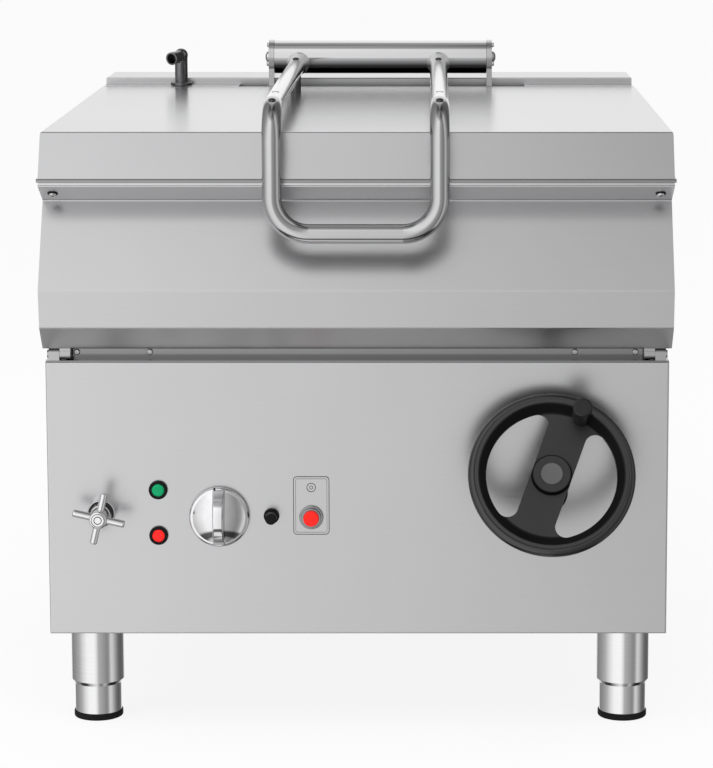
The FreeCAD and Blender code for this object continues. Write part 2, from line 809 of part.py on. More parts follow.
def jack_lug():
    """Clevis plates under the pan with the jack's upper pin."""
    pieces = []
    eye_y = clevis_centre.y - front_y
    eye_z = clevis_centre.z
    for side in (-1, 1):
        near = jack_eye_half + clevis_gap
        x0, x1 = sorted((side * near, side * (near + clevis_ear)))
        ear = rod(jack_eye_radius, point(x0, eye_y, eye_z), point(x1, eye_y, eye_z))
        web = box(x0, x1, eye_y - jack_eye_radius, eye_y + jack_eye_radius, eye_z, pan_bottom)
        pieces += [ear, web]
    end = jack_eye_half + clevis_gap + clevis_ear + 3.5
    pieces.append(rod(clevis_pin_radius, point(-end, eye_y, eye_z), point(end, eye_y, eye_z)))
    pieces.append(box(-end, end, eye_y - jack_eye_radius - 4, eye_y + jack_eye_radius + 4,
                      pan_bottom - 5, pan_bottom))
    return fuse(*pieces)


def pan_screws():
    """One socket screw near each end of the band under the pouring lip."""
    run = FreeCAD.Vector(0, band_inner - lip_front, band_bottom - apron_top)
    outward = FreeCAD.Vector(0, run.z, -run.y).normalize()
    seat = point(0, (band_inner + lip_front) / 2, (band_bottom + apron_top) / 2)
    place = pan_half - band_screw_inset
    return [screw_head(seat + X_AXIS * x, outward, band_screw_radius, 3.8, 2.3) for x in (-place, place)]


apron = pan_front()
save("pan_front", [apron])
save("pan_casing", [pan_casing(apron)])
save("tub", [tub()])
save("heated_plate", [heated_plate()])
save("heating_elements", heating_elements())
save("under_tray", [under_tray()])
save("jack_lug", [jack_lug()])
save("pan_screws", pan_screws())


def lid_outline():
    """The lid's cross-section: sloping front, flat top, upright rear."""
    return [(lip_front + 1, lid_rim_z), (lid_top_front, lid_top), (lid_rear, lid_top), (lid_rear, lid_rim_z)]


def lid_shell():
    """Outer lid skin with its hem, open below."""
    block = side_profile(lid_outline(), -pan_half, pan_half)
    long_edges = [e for e in block.Edges if e.BoundBox.ZMin > lid_top - 1]
    block = block.makeFillet(3, long_edges)
    inner = [(lip_front + 4, lid_rim_z - 20), (lip_front + 4, lid_rim_z + 1),
             (lid_top_front + 1.5, lid_top - thick_sheet), (lid_rear - thick_sheet, lid_top - thick_sheet),
             (lid_rear - thick_sheet, lid_rim_z - 20)]
    hollow = side_profile(inner, -pan_half + thick_sheet, pan_half - thick_sheet)
    hem = box(-pan_half - lid_hem, pan_half + lid_hem, lip_front - 1, lid_rear + 0.5,
              lid_rim_z - lid_rim_drop + 0.2, lid_rim_z + 0.2)
    hem = hem.cut(box(-pan_half + hem_width, pan_half - hem_width, lip_front + hem_width, lid_rear - hem_width,
                      lid_rim_z - 20, lid_rim_z + 20))
    return fuse(block.cut(hollow), hem)


def lid_liner():
    """Flat inner skin of the double-walled lid, set into the hem."""
    inset = hem_width + liner_gap
    return box(-pan_half + inset, pan_half - inset, lip_front + inset, lid_rear - inset,
               lid_rim_z - 1 - liner_thickness, lid_rim_z - 1)


def lid_handle():
    """One bent tube: two arms from the hinge, two bends down, a crossbar joined by round corners."""
    y_start = hinge_y - hinge_tube_radius + 1
    corners = [(-arm_x, y_start, arm_z), (-arm_x, handle_front, arm_z), (-arm_x, handle_front, handle_bottom),
               (arm_x, handle_front, handle_bottom), (arm_x, handle_front, arm_z), (arm_x, y_start, arm_z)]
    places = [point(*corner) for corner in corners]
    edges = []
    start = places[0]
    for before, corner, after in zip(places, places[1:], places[2:]):
        into = corner.sub(before).normalize()
        out = after.sub(corner).normalize()
        arc_start = corner - into * handle_bend
        arc_end = corner + out * handle_bend
        middle = corner + (out - into).normalize() * (handle_bend * (math.sqrt(2) - 1))
        edges += [Part.makeLine(start, arc_start), Part.Arc(arc_start, middle, arc_end).toShape()]
        start = arc_end
    edges.append(Part.makeLine(start, places[-1]))
    path = Part.Wire(edges)
    outer, inner = [path.makePipeShell([Part.Wire([Part.makeCircle(radius, places[0], Y_AXIS)])], True, False)
                    for radius in (handle_radius, handle_radius - handle_wall)]
    return outer.cut(inner).cut(Part.makeCompound([
        rod(5, point(x, y, screw_seat), point(x, y, screw_seat + 10))
        for x in (-arm_x, arm_x) for y in fixing_depths]))


def handle_fixings():
    """Spacers between the arms and the lid, with the heads of the screws that pass through them."""
    fixings = []
    for x in (-arm_x, arm_x):
        for y in fixing_depths:
            fixings.append(rod(fixing_radius, point(x, y, lid_top), point(x, y, arm_z - handle_radius)))
            fixings.append(screw_head(point(x, y, screw_seat), (0, 0, 1), fixing_head, fixing_head_height, 2.0))
    return fixings


def hinge_tube():
    """Cylinder across the back of the lid with the rosettes where the arms enter it."""
    left, right = point(hinge_left, hinge_y, hinge_z), point(hinge_right, hinge_y, hinge_z)
    core = rod(hinge_tube_radius - hinge_tube_wall, left, right)
    shell = rod(hinge_tube_radius, left, right)
    front = hinge_y - hinge_tube_radius
    rosettes = [rod(rosette_radius, point(x, front - 7, arm_z), point(x, hinge_y - 10, arm_z))
                for x in (-arm_x, arm_x)]
    sockets = [rod(handle_radius, point(x, front - 30, arm_z), point(x, front + 1, arm_z))
               for x in (-arm_x, arm_x)]
    return fuse(shell, *rosettes).cut(core).cut(Part.makeCompound(sockets))


def hinge_bushes():
    """Bearing bushes pressed into both ends of the hinge tube."""
    bushes = []
    for x0 in (hinge_left + 1, hinge_right - bush_length - 1):
        bushes.append(tube(hinge_tube_radius - hinge_tube_wall, hinge_shaft_radius + running_gap,
                           point(x0, hinge_y, hinge_z), point(x0 + bush_length, hinge_y, hinge_z)))
    return bushes


def hinge_shaft():
    """Fixed shaft through the hinge tube."""
    return rod(hinge_shaft_radius, point(hinge_left - hinge_plate, hinge_y, hinge_z),
               point(hinge_right + hinge_plate, hinge_y, hinge_z))


def hinge_plates():
    """End plates that carry the lid's hinge on the pan's back."""
    plates = []
    for x0 in (hinge_left - hinge_plate - hinge_side_gap, hinge_right + hinge_side_gap):
        x1 = x0 + hinge_plate
        head = rod(hinge_tube_radius + 1, point(x0, hinge_y, hinge_z), point(x1, hinge_y, hinge_z))
        pad_top = rim_z - 14
        neck = [(hinge_y - 20, hinge_z - 14), (hinge_y + 13, hinge_z - 14), (pan_rear + 17, pad_top - 15),
                (pan_rear, pad_top - 75), (pan_rear, pad_top), (lid_rear + 3, lid_rim_z + 1)]
        web = side_profile(neck, x0, x1)
        pad = box(x0 - hinge_pad_side, x1 + hinge_pad_side, pan_rear, pan_rear + hinge_pad_thickness,
                  pad_top - hinge_pad_height, pad_top)
        bore = rod(hinge_shaft_radius, point(x0 - 1, hinge_y, hinge_z), point(x1 + 1, hinge_y, hinge_z))
        plates.append(fuse(head, web, pad).cut(bore))
    return plates


def lid_spring():
    """Balance spring round the hinge shaft, drawn as its coil's envelope."""
    return tube(spring_radius, spring_inner, point(hinge_left + spring_margin, hinge_y, hinge_z),
                point(hinge_right - spring_margin, hinge_y, hinge_z))


save("lid_shell", [lid_shell()])
save("lid_liner", [lid_liner()])
save("lid_handle", [lid_handle()])
save("handle_fixings", handle_fixings())
save("hinge_tube", [hinge_tube()])
save("hinge_bushes", hinge_bushes())
save("hinge_shaft", [hinge_shaft()])
save("hinge_plates", hinge_plates())
save("lid_spring", [lid_spring()])


def spout_base():
    """Flanged socket in the ledge, with the feed pipe below it."""
    seat = point(spout_x, spout_y, ledge_top)
    flange = Part.makeCylinder(socket_flange, 5, seat)
    flange = flange.makeFillet(1.5, [flange.Edges[0]])
    socket = rod(socket_radius, seat - Z_AXIS * (spout_socket + 14), seat)
    feed = rod(feed_radius, seat - Z_AXIS * feed_length, seat - Z_AXIS * (spout_socket + 10))
    bore = rod(spout_radius + running_gap, seat - Z_AXIS * spout_socket, seat + Z_AXIS * 10)
    return fuse(flange, socket, feed).cut(bore)


def spout():
    """Riser, round elbow and an open mouth that faces the pan."""
    base = point(spout_x, spout_y, ledge_top - spout_socket + 0.3)
    yaw = math.radians(spout_yaw)
    forward = FreeCAD.Vector(-math.sin(yaw), -math.cos(yaw), -0.14).normalize()
    elbow = point(spout_x, spout_y, spout_top - spout_radius - 0.6)
    riser = Part.makeCylinder(spout_radius, elbow.z - base.z, base)
    ball = Part.makeSphere(spout_radius + 0.6, elbow)
    mouth_end = elbow + forward * spout_reach
    arm = rod(spout_radius - 1, elbow, mouth_end)
    bead = rod(spout_radius, mouth_end - forward * 7, mouth_end)
    bore = rod(spout_bore, mouth_end - forward * 20, mouth_end + forward)
    return fuse(riser, ball, arm, bead).cut(bore)


save("spout_base", [spout_base()])
save("spout", [spout()])


def disc(x, z, radius, y0, y1, rounding=0.0):
    """A round piece on the panel, its front edge rounded."""
    body = rod(radius, point(x, y1, z), point(x, y0, z))
    if rounding > 0:
        front = [e for e in body.Edges if e.Curve.TypeId == "Part::GeomCircle"
                 and e.BoundBox.YMax < front_y + min(y0, y1) + 0.01]
        body = body.makeFillet(rounding, front)
    return body


def lamp_holders():
    """Black bezels with their barrels behind the panel."""
    holders = []
    for z in (lamp_z, lamp_z - lamp_pitch):
        bezel = disc(lamp_x, z, lamp_bezel, -4, 0, 1.2)
        barrel = disc(lamp_x, z, lamp_barrel, 0, 34)
        seat = disc(lamp_x, z, lens_radius + lens_gap, -5, -1)
        holders.append(fuse(bezel, barrel).cut(seat))
    return holders


def lens(z):
    """Domed lens in a lamp holder."""
    return disc(lamp_x, z, lens_radius, -6.5, -1, 2.4)


def regulator():
    """Energy regulator behind the selector knob, with its square body and collar."""
    body = box(knob_x - regulator_half, knob_x + regulator_half, sheet + 2, 46,
               knob_z - regulator_half, knob_z + regulator_half)
    collar = disc(knob_x, knob_z, regulator_collar, -3, sheet + 3)
    bore = disc(knob_x, knob_z, knob_spindle + running_gap, -4, 30)
    return fuse(body, collar).cut(bore)


def selector_knob():
    """Chromed knob: a dished skirt and an arched grip across it, narrower towards its crest."""
    skirt = disc(knob_x, knob_z, knob_radius, -knob_skirt, -knob_gap, 3)
    cheek = Part.makeSphere(knob_cheek_radius, point(knob_x, knob_cheek_radius - knob_skirt - 7, knob_z))
    cheek = cheek.common(disc(knob_x, knob_z, knob_radius - 5, -40, -knob_skirt + 2)).Solids[0]
    arch_centre = knob_arch_radius - knob_reach
    arch = rod(knob_arch_radius, point(knob_x - 20, arch_centre, knob_z),
               point(knob_x + 20, arch_centre, knob_z))
    crest_half = knob_grip - 2
    outline = [(-knob_grip, -5.0), (knob_grip, -5.0), (crest_half, -knob_reach - 1),
               (-crest_half, -knob_reach - 1)]
    wire = Part.makePolygon([point(knob_x + x, y, knob_z - 50) for x, y in outline + outline[:1]])
    grip = Part.Face(wire).extrude(Z_AXIS * 100).common(arch).Solids[0]
    crest = [e for e in grip.Edges if e.BoundBox.YMin < front_y - knob_reach + 2 and e.BoundBox.ZLength > 40]
    grip = grip.makeFillet(2.0, crest)
    spindle = disc(knob_x, knob_z, knob_spindle, -12, 26)
    recess = disc(knob_x, knob_z, 7.5, -5.0, 0)
    return fuse(fuse(skirt, cheek, grip).cut(recess), spindle)


def button_plate():
    """Thin plate with rounded corners round the push button."""
    plate = box(button_x - plate_width / 2, button_x + plate_width / 2, -button_plate_thickness, 0,
                plate_z - plate_height / 2, plate_z + plate_height / 2)
    uprights = [e for e in plate.Edges if e.BoundBox.YLength > 0.5]
    plate = plate.makeFillet(plate_rounding, uprights)
    return plate.cut(disc(button_x, button_z, button_barrel + lamp_gap, -3, 3))


def button_bezels():
    """Threaded bezel of the red button and the collar of the reset button."""
    ring = fuse(disc(button_x, button_z, button_bezel, -4.2, -button_plate_thickness, 1.2),
                disc(button_x, button_z, button_barrel, -1, 26))
    ring = fuse(ring, disc(button_x, button_z, button_collar, -8, -4, 1.0))
    ring = ring.cut(disc(button_x, button_z, button_cap + button_gap, -12, 20))
    small = fuse(disc(reset_x, reset_z, reset_bezel, -3.5, 0, 1.0), disc(reset_x, reset_z, reset_barrel, 0, 22))
    small = small.cut(disc(reset_x, reset_z, reset_stem + 0.3, -6, 18))
    return [ring, small]


def red_button():
    """Flat-fronted push button on its plunger."""
    cap = disc(button_x, button_z, button_cap, -13.5, 4, 1.6)
    stem = disc(button_x, button_z, button_stem, 3, 14)
    return fuse(cap, stem)


def reset_button():
    """Small black push cap on a thin plunger."""
    cap = disc(reset_x, reset_z, reset_cap, -22, -7, 1.8)
    stem = disc(reset_x, reset_z, reset_stem, -8, 12)
    return fuse(cap, stem)


def water_valve():
    """Valve body behind the panel, with its bonnet and collar in front."""
    collar = disc(tap_x, tap_z, collar_radius, -16, 0, 2.5)
    bonnet = disc(tap_x, tap_z, bonnet_radius, -26, -15, 1.5)
    throat = disc(tap_x, tap_z, valve_throat, 0, 20)
    body = disc(tap_x, tap_z, valve_radius, 18, 62)
    bore = disc(tap_x, tap_z, tap_spindle_radius + running_gap, -40, 30)
    centre = point(tap_x, port_depth, tap_z)
    port = rod(port_radius, centre - Z_AXIS * port_reach, centre)
    outlet = rod(port_radius, centre, centre + Z_AXIS * port_reach)
    return fuse(collar, bonnet, throat, body, port, outlet).cut(bore)


def tap_handle():
    """Cross handle: hub, four round spokes and its spindle."""
    hub = disc(tap_x, tap_z, tap_hub_radius, -tap_hub_front, -tap_hub_back, 3.0)
    base = disc(tap_x, tap_z, 9, -tap_hub_back - 1, -26.6)
    spindle = disc(tap_x, tap_z, tap_spindle_radius, -tap_hub_back - 1, 22)
    pieces = [hub, base, spindle]
    centre = point(tap_x, -44, tap_z)
    for i in range(4):
        turn = math.radians(tap_rod_turn + 90 * i)
        reach = FreeCAD.Vector(math.sin(turn), 0, math.cos(turn))
        spoke = Part.makeCylinder(tap_rod_radius, tap_rod_reach, centre, reach)
        pieces.append(spoke.makeFillet(2.5, [spoke.Edges[0]]))
    return fuse(*pieces)


def water_pipe():
    """Feed from the rear inlet to the valve, one bent pipe."""
    corners = [point(inlet_x, rear_y + inlet_reach, inlet_z), point(inlet_x, port_depth + pipe_run, inlet_z),
               point(tap_x, port_depth, inlet_z), point(tap_x, port_depth, tap_z - port_reach)]
    edges = []
    start = corners[0]
    for before, corner, after in zip(corners, corners[1:], corners[2:]):
        into = corner.sub(before).normalize()
        out = after.sub(corner).normalize()
        half_turn = into.getAngle(out) / 2
        arc_start = corner - into * pipe_bend
        arc_end = corner + out * pipe_bend
        radius = pipe_bend / math.tan(half_turn)
        sagitta = radius / math.cos(half_turn) - radius
        middle = corner + (out - into).normalize() * sagitta
        edges += [Part.makeLine(start, arc_start), Part.Arc(arc_start, middle, arc_end).toShape()]
        start = arc_end
    edges.append(Part.makeLine(start, corners[-1]))
    section = Part.Wire([Part.makeCircle(pipe_radius, corners[0], Y_AXIS)])
    pipe = Part.Wire(edges).makePipeShell([section], True, False)
    collar = rod(inlet_collar, point(inlet_x, rear_y + 0.6, inlet_z), point(inlet_x, rear_y + 4, inlet_z))
    nipple = rod(inlet_radius, point(inlet_x, rear_y + 4, inlet_z),
                 point(inlet_x, rear_y + inlet_reach, inlet_z))
    return fuse(pipe, collar, nipple)


def switchgear_box():
    """Sheet box for the contactors, fixed to the chassis floor, and its screwed-on cover."""
    front = rear_y - switch_setback
    shell = tray(switch_left, switch_right, front, front + switch_depth, floor_top, floor_top + switch_height,
                 sheet, "front")
    cover = box(switch_left - 2, switch_right + 2, front - sheet, front, floor_top + 2,
                floor_top + switch_height + 2)
    return [shell, cover]


def cable_gland():
    """Gland for the supply lead in the rear panel, with an open bore."""
    body = rod(gland_radius, point(gland_x, rear_y - 14, inlet_z), point(gland_x, rear_y + 12, inlet_z))
    nut = rod(gland_nut, point(gland_x, rear_y + 0.5, inlet_z), point(gland_x, rear_y + 8, inlet_z))
    bore = rod(gland_bore, point(gland_x, rear_y - 20, inlet_z), point(gland_x, rear_y + 20, inlet_z))
    return fuse(body, nut).cut(bore)


save("lamp_holders", lamp_holders())
save("green_lens", [lens(lamp_z)])
save("red_lens", [lens(lamp_z - lamp_pitch)])
save("regulator", [regulator()])
save("selector_knob", [selector_knob()])
save("button_plate", [button_plate()])
save("button_bezels", button_bezels())
save("red_button", [red_button()])
save("reset_button", [reset_button()])
save("water_valve", [water_valve()])
save("tap_handle", [tap_handle()])
save("water_pipe", [water_pipe()])
save("switchgear_box", switchgear_box())
save("cable_gland", [cable_gland()])


def in_wheel_frame(shape):
    """Turn a piece drawn about +Z at the origin into the handwheel's inclined frame."""
    placed = shape.copy()
    placed.rotate(FreeCAD.Vector(0, 0, 0), X_AXIS, 90 - wheel_slope_degrees)
    placed.translate(wheel_centre)
    return placed


def handwheel():
    """Moulded wheel: a dished rim turned from its profile, a hub and one broad waisted spoke."""
    profile = [(rim_inner, -rim_back), (rim_inner, rim_dish), (rim_shoulder, rim_front - 2),
               (rim_shoulder + 2, rim_front), (bead_inner, rim_front)]
    points = [FreeCAD.Vector(r, 0, h) for r, h in profile]
    groove = FreeCAD.Vector(bead_inner + 0.6, 0, rim_front - 1.2)
    crown = FreeCAD.Vector(wheel_radius, 0, 0)
    heel = FreeCAD.Vector(bead_inner, 0, -rim_back)
    upper_mid = FreeCAD.Vector(wheel_radius - 2.6, 0, rim_front * 0.72)
    lower_mid = FreeCAD.Vector(wheel_radius - 2.6, 0, -rim_back * 0.72)
    lines = [Part.makeLine(a, b) for a, b in zip(points, points[1:] + [groove])]
    arcs = [Part.Arc(groove, upper_mid, crown).toShape(), Part.Arc(crown, lower_mid, heel).toShape()]
    section = Part.Face(Part.Wire(lines + arcs + [Part.makeLine(heel, points[0])]))
    rim = section.revolve(FreeCAD.Vector(0, 0, 0), Z_AXIS, 360)
    web = Part.makeCylinder(rim_inner + 1, web_thickness, FreeCAD.Vector(0, 0, web_back))
    windows = []
    for side in (0, 180):
        window = Part.makeCylinder(rim_inner, 60, FreeCAD.Vector(0, 0, -30))
        beyond = Part.makeBox(4 * wheel_radius, wheel_radius, 60,
                              FreeCAD.Vector(-2 * wheel_radius, spoke_half_width, -30))
        window = window.common(beyond)
        window = window.makeFillet(window_corner, [e for e in window.Edges if e.BoundBox.ZLength > 50])
        window.rotate(FreeCAD.Vector(0, 0, 0), Z_AXIS, spoke_angle + side)
        windows.append(window)
    hub = Part.makeCylinder(hub_radius, hub_front - hub_back, FreeCAD.Vector(0, 0, hub_back))
    hub = hub.makeFillet(1.5, [hub.Edges[0]])
    boss = Part.makeCylinder(grip_boss, grip_seat - web_back, grip_place(web_back))
    wheel = fuse(rim, web.cut(Part.makeCompound(windows)), hub, boss)
    web_front = web_back + web_thickness
    moat = Part.makeCylinder(hub_radius + hub_groove, 20, FreeCAD.Vector(0, 0, web_front - 1.5))
    moat = moat.cut(Part.makeCylinder(hub_radius, 20, FreeCAD.Vector(0, 0, web_front - 1.5)))
    bore = Part.makeCylinder(shaft_radius, 60, FreeCAD.Vector(0, 0, -40))
    cap_seat = Part.makeCylinder(cap_radius + 0.2, cap_seat_depth + 1,
                                 FreeCAD.Vector(0, 0, hub_front - cap_seat_depth))
    return in_wheel_frame(wheel.cut(moat).cut(bore).cut(cap_seat))


def grip_place(height):
    """The grip's foot on the wheel, at a height above the wheel's middle plane."""
    turn = math.radians(grip_angle)
    return FreeCAD.Vector(grip_orbit * math.cos(turn), grip_orbit * math.sin(turn), height)


def hub_cap():
    """Press-in cap over the shaft's end."""
    cap = Part.makeCylinder(cap_radius, cap_height, FreeCAD.Vector(0, 0, hub_front - cap_seat_depth))
    return in_wheel_frame(cap.makeFillet(0.8, [cap.Edges[0]]))


def grip_spindle():
    """Shouldered pin that the grip turns on."""
    foot_point = grip_place(grip_seat)
    pin = Part.makeCylinder(grip_pin_radius, grip_length - 6, foot_point)
    shoulder = Part.makeCylinder(grip_shoulder, 2, foot_point)
    return in_wheel_frame(fuse(pin, shoulder))


def wheel_grip():
    """Revolving cylindrical grip."""
    foot_point = grip_place(grip_seat + 2.3)
    body = Part.makeCylinder(grip_radius, grip_length, foot_point)
    body = body.makeFillet(2.5, [e for e in body.Edges if e.Curve.TypeId == "Part::GeomCircle"])
    bore = Part.makeCylinder(grip_pin_radius + running_gap, grip_length - 6, foot_point - Z_AXIS)
    return in_wheel_frame(body.cut(bore))


def wheel_shaft():
    """Inclined shaft from the handwheel into the gearbox."""
    length = (drive_y - wheel_y) / math.cos(slope)
    shaft = Part.makeCylinder(shaft_radius, length - gearbox_socket + 2,
                              FreeCAD.Vector(0, 0, gearbox_socket + 2 - length))
    collar = Part.makeCylinder(shaft_collar_radius, shaft_collar_length,
                               FreeCAD.Vector(0, 0, hub_back - shaft_collar_length - 0.5))
    return in_wheel_frame(fuse(shaft, collar))


def shaft_sleeve():
    """Bearing sleeve of the inclined shaft, carried by an upright plate behind the panel."""
    along = (0 - wheel_y) / math.cos(slope)
    bush = Part.makeCylinder(sleeve_bush_radius, sleeve_bush_length,
                             FreeCAD.Vector(0, 0, -along - sleeve_bush_rear))
    bore = Part.makeCylinder(shaft_radius + running_gap, 2 * sleeve_bush_length,
                             FreeCAD.Vector(0, 0, -along - sleeve_bush_rear - sleeve_bush_length / 2))
    left, right = wheel_x - sleeve_plate_half, wheel_x + sleeve_plate_half
    front = sleeve_plate_front
    plate = box(left, right, front, front + sleeve_plate_thickness, floor_top, wheel_z - sleeve_plate_drop)
    foot_flange = box(left, right, front, front + sleeve_foot, floor_top, floor_top + sleeve_plate_thickness)
    return fuse(in_wheel_frame(bush), plate, foot_flange).cut(in_wheel_frame(bore))


def gearbox():
    """Closed angle gearbox on a pedestal, round the end of the inclined shaft."""
    size = gearbox_half
    housing = box(wheel_x - size, wheel_x + size, drive_y - size, drive_y + size,
                  drive_z - size, drive_z + size)
    housing = housing.makeFillet(gearbox_corner, housing.Edges)
    along = (drive_y - wheel_y) / math.cos(slope)
    boss = Part.makeCylinder(gearbox_boss, size + 16, FreeCAD.Vector(0, 0, -along))
    pedestal = box(wheel_x - size + 6, wheel_x + size - 6, drive_y - size + 6, drive_y + size - 6,
                   beam_top, drive_z - 20)
    flange = box(wheel_x - gearbox_flange, wheel_x + gearbox_flange, beam_y0 + 2, beam_y1 - 2,
                 beam_top, beam_top + 6)
    shaft_hole = Part.makeCylinder(shaft_radius + running_gap, 80, FreeCAD.Vector(0, 0, gearbox_socket - along))
    cross_hole = rod(shaft_radius + running_gap, point(wheel_x - size - 16, drive_y, drive_z),
                     point(wheel_x - 12, drive_y, drive_z))
    return fuse(housing, in_wheel_frame(boss), pedestal, flange).cut(in_wheel_frame(shaft_hole)).cut(cross_hole)


def cross_shaft():
    """Shaft from the gearbox through both pedestals and the jack's foot."""
    start = -pedestal_x - pedestal_head - 4
    return rod(shaft_radius, point(start, drive_y, drive_z), point(wheel_x - 13, drive_y, drive_z))


def shaft_pedestals():
    """Bearing pedestals on both sides of the jack."""
    stands = []
    for x in (-pedestal_x, pedestal_x):
        outline = [(beam_y0 + 2, beam_top), (beam_y1 - 2, beam_top), (drive_y + pedestal_head, drive_z),
                   (drive_y - pedestal_head, drive_z)]
        web = side_profile(outline, x - pedestal_half, x + pedestal_half)
        head = rod(pedestal_head, point(x - pedestal_half - 4, drive_y, drive_z),
                   point(x + pedestal_half + 4, drive_y, drive_z))
        flange = box(x - 2 * pedestal_half, x + 2 * pedestal_half, beam_y0 + 1, beam_y1 - 1,
                     beam_top, beam_top + 5)
        bore = rod(shaft_radius + running_gap, point(x - 20, drive_y, drive_z), point(x + 20, drive_y, drive_z))
        stands.append(fuse(web, head, flange).cut(bore))
    return stands


def along_jack(distance):
    return jack_foot + jack_axis * distance


def jack_body():
    """Outer tube of the screw jack, its foot swinging on the cross shaft."""
    foot_head = rod(jack_head_radius, jack_foot - X_AXIS * jack_head_half, jack_foot + X_AXIS * jack_head_half)
    barrel = rod(jack_radius, jack_foot, along_jack(jack_top))
    nut = rod(jack_radius + 3, along_jack(jack_top - 26), along_jack(jack_top))
    hollow = rod(stage_radius + running_gap, along_jack(13), along_jack(jack_top + 5))
    bore = rod(shaft_radius + running_gap, jack_foot - X_AXIS * 60, jack_foot + X_AXIS * 60)
    return fuse(foot_head, barrel, nut).cut(hollow).cut(bore)


def jack_stage():
    """Middle screw tube, threaded inside and out, drawn at its outer diameter."""
    return tube(stage_radius, rod_radius + running_gap, along_jack(15), along_jack(stage_top))


def jack_rod():
    """Inner screw with the eye that takes the pan's pin."""
    stem = rod(rod_radius, along_jack(30), along_jack(jack_length - 10))
    eye = rod(jack_eye_radius, clevis_centre - X_AXIS * jack_eye_half, clevis_centre + X_AXIS * jack_eye_half)
    bore = rod(clevis_pin_radius + running_gap, clevis_centre - X_AXIS * 30, clevis_centre + X_AXIS * 30)
    return fuse(stem, eye).cut(bore)


save("handwheel", [handwheel()])
save("hub_cap", [hub_cap()])
save("grip_spindle", [grip_spindle()])
save("wheel_grip", [wheel_grip()])
save("wheel_shaft", [wheel_shaft()])
save("shaft_sleeve", [shaft_sleeve()])
save("gearbox", [gearbox()])
save("cross_shaft", [cross_shaft()])
save("shaft_pedestals", shaft_pedestals())
save("jack_body", [jack_body()])
save("jack_stage", [jack_stage()])
save("jack_rod", [jack_rod()])
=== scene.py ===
import bpy
import bmesh
import json
import math
from mathutils import Matrix, Vector


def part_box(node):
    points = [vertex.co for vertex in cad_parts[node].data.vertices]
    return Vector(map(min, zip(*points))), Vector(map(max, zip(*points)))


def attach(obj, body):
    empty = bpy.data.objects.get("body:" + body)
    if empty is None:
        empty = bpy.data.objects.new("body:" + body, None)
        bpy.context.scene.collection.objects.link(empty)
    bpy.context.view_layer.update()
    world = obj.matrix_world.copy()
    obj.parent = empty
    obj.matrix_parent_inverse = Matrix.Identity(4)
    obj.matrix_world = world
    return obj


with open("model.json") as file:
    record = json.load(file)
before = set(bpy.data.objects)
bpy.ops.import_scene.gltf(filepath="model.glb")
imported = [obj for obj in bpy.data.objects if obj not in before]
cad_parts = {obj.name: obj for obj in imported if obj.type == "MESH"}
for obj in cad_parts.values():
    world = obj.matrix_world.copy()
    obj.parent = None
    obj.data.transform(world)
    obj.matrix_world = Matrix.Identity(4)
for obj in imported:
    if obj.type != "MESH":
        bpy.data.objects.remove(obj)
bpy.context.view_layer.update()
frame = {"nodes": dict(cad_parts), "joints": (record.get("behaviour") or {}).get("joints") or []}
nodes = frame["nodes"]
joints = {joint["name"]: joint for joint in frame["joints"]}

# The camera. It stands a little right of the middle, at chest height, and looks down at the machine by
# about eight degrees. A small lens shift leaves as much room above the lid as the photograph has.
image_width = 713
image_height = 768
focal_pixels = 2956.5
camera_place = Vector((0.0945, -4.1175, 1.1541))
camera_down = 0.1433
optical_column = 431.0
optical_row = 270.0
sensor_height = 36.0

camera_data = bpy.data.cameras.new("camera")
camera = bpy.data.objects.new("camera", camera_data)
bpy.context.scene.collection.objects.link(camera)
camera.location = camera_place
camera.rotation_euler = (math.radians(90) - camera_down, 0, 0)
camera_data.sensor_fit = "VERTICAL"
camera_data.sensor_height = sensor_height
camera_data.lens = focal_pixels * sensor_height / image_height
camera_data.shift_x = (image_width / 2 - optical_column) / image_height
camera_data.shift_y = (optical_row - image_height / 2) / image_height
bpy.context.scene.camera = camera
bpy.context.scene.view_settings.view_transform = "Standard"


# The studio. White where the camera sees it. Metal mirrors a room with a bright window left of the camera,
# a grey screen and a pale strip right of it, dark sides, a pale wall behind the machine, a dim ceiling and
# a dark ring on the floor round the machine.
def wired(tree, kind, inputs, **settings):
    """A shader node whose inputs are given values or linked to other nodes' outputs."""
    made = tree.nodes.new("ShaderNode" + kind)
    for setting, value in settings.items():
        setattr(made, setting, value)
    for socket, value in inputs.items():
        if isinstance(value, bpy.types.NodeSocket):
            tree.links.new(value, made.inputs[socket])
        else:
            made.inputs[socket].default_value = value
    return made


def banded(tree, value, stops):
    """A grey level that follows a value from 0 to 1, with (value, level) stops."""
    ramp = wired(tree, "ValToRGB", {0: value})
    while len(ramp.color_ramp.elements) < len(stops):
        ramp.color_ramp.elements.new(0.5)
    for stop, (at, level) in zip(ramp.color_ramp.elements, stops):
        stop.position = at
        stop.color = (level, level, level, 1)
    return ramp.outputs["Color"]


degrees_round = [(-180, 1.08), (-155, 0.9), (-145, 0.25), (-108, 0.38), (-84, 0.54), (-62, 0.92),
                 (-42, 1.2), (-12, 1.24), (0, 0.96), (7, 0.56), (35, 0.38), (46, 0.3), (55, 0.4), (63, 0.8),
                 (74, 0.75), (84, 0.5), (104, 0.2), (122, 0.13), (150, 0.2), (160, 0.95), (180, 1.08)]
degrees_up = [(-90, 0.82), (-68, 0.78), (-62, 0.12), (-51, 0.12), (-45, 1.0), (-30, 1.02), (-8, 1.08),
              (14, 1.08), (32, 1.08), (56, 1.14), (66, 0.5), (90, 0.38)]
mirrored_strength = 1.0
diffuse_strength = 0.85
white_strength = 1.0
world = bpy.data.worlds.new("surround")
bpy.context.scene.world = world
world.use_nodes = True
sky = world.node_tree
sky.nodes.clear()
direction = wired(sky, "SeparateXYZ", {0: sky.nodes.new("ShaderNodeTexCoord").outputs["Generated"]})
backward = wired(sky, "Math", {0: direction.outputs["Y"], 1: -1.0}, operation="MULTIPLY")
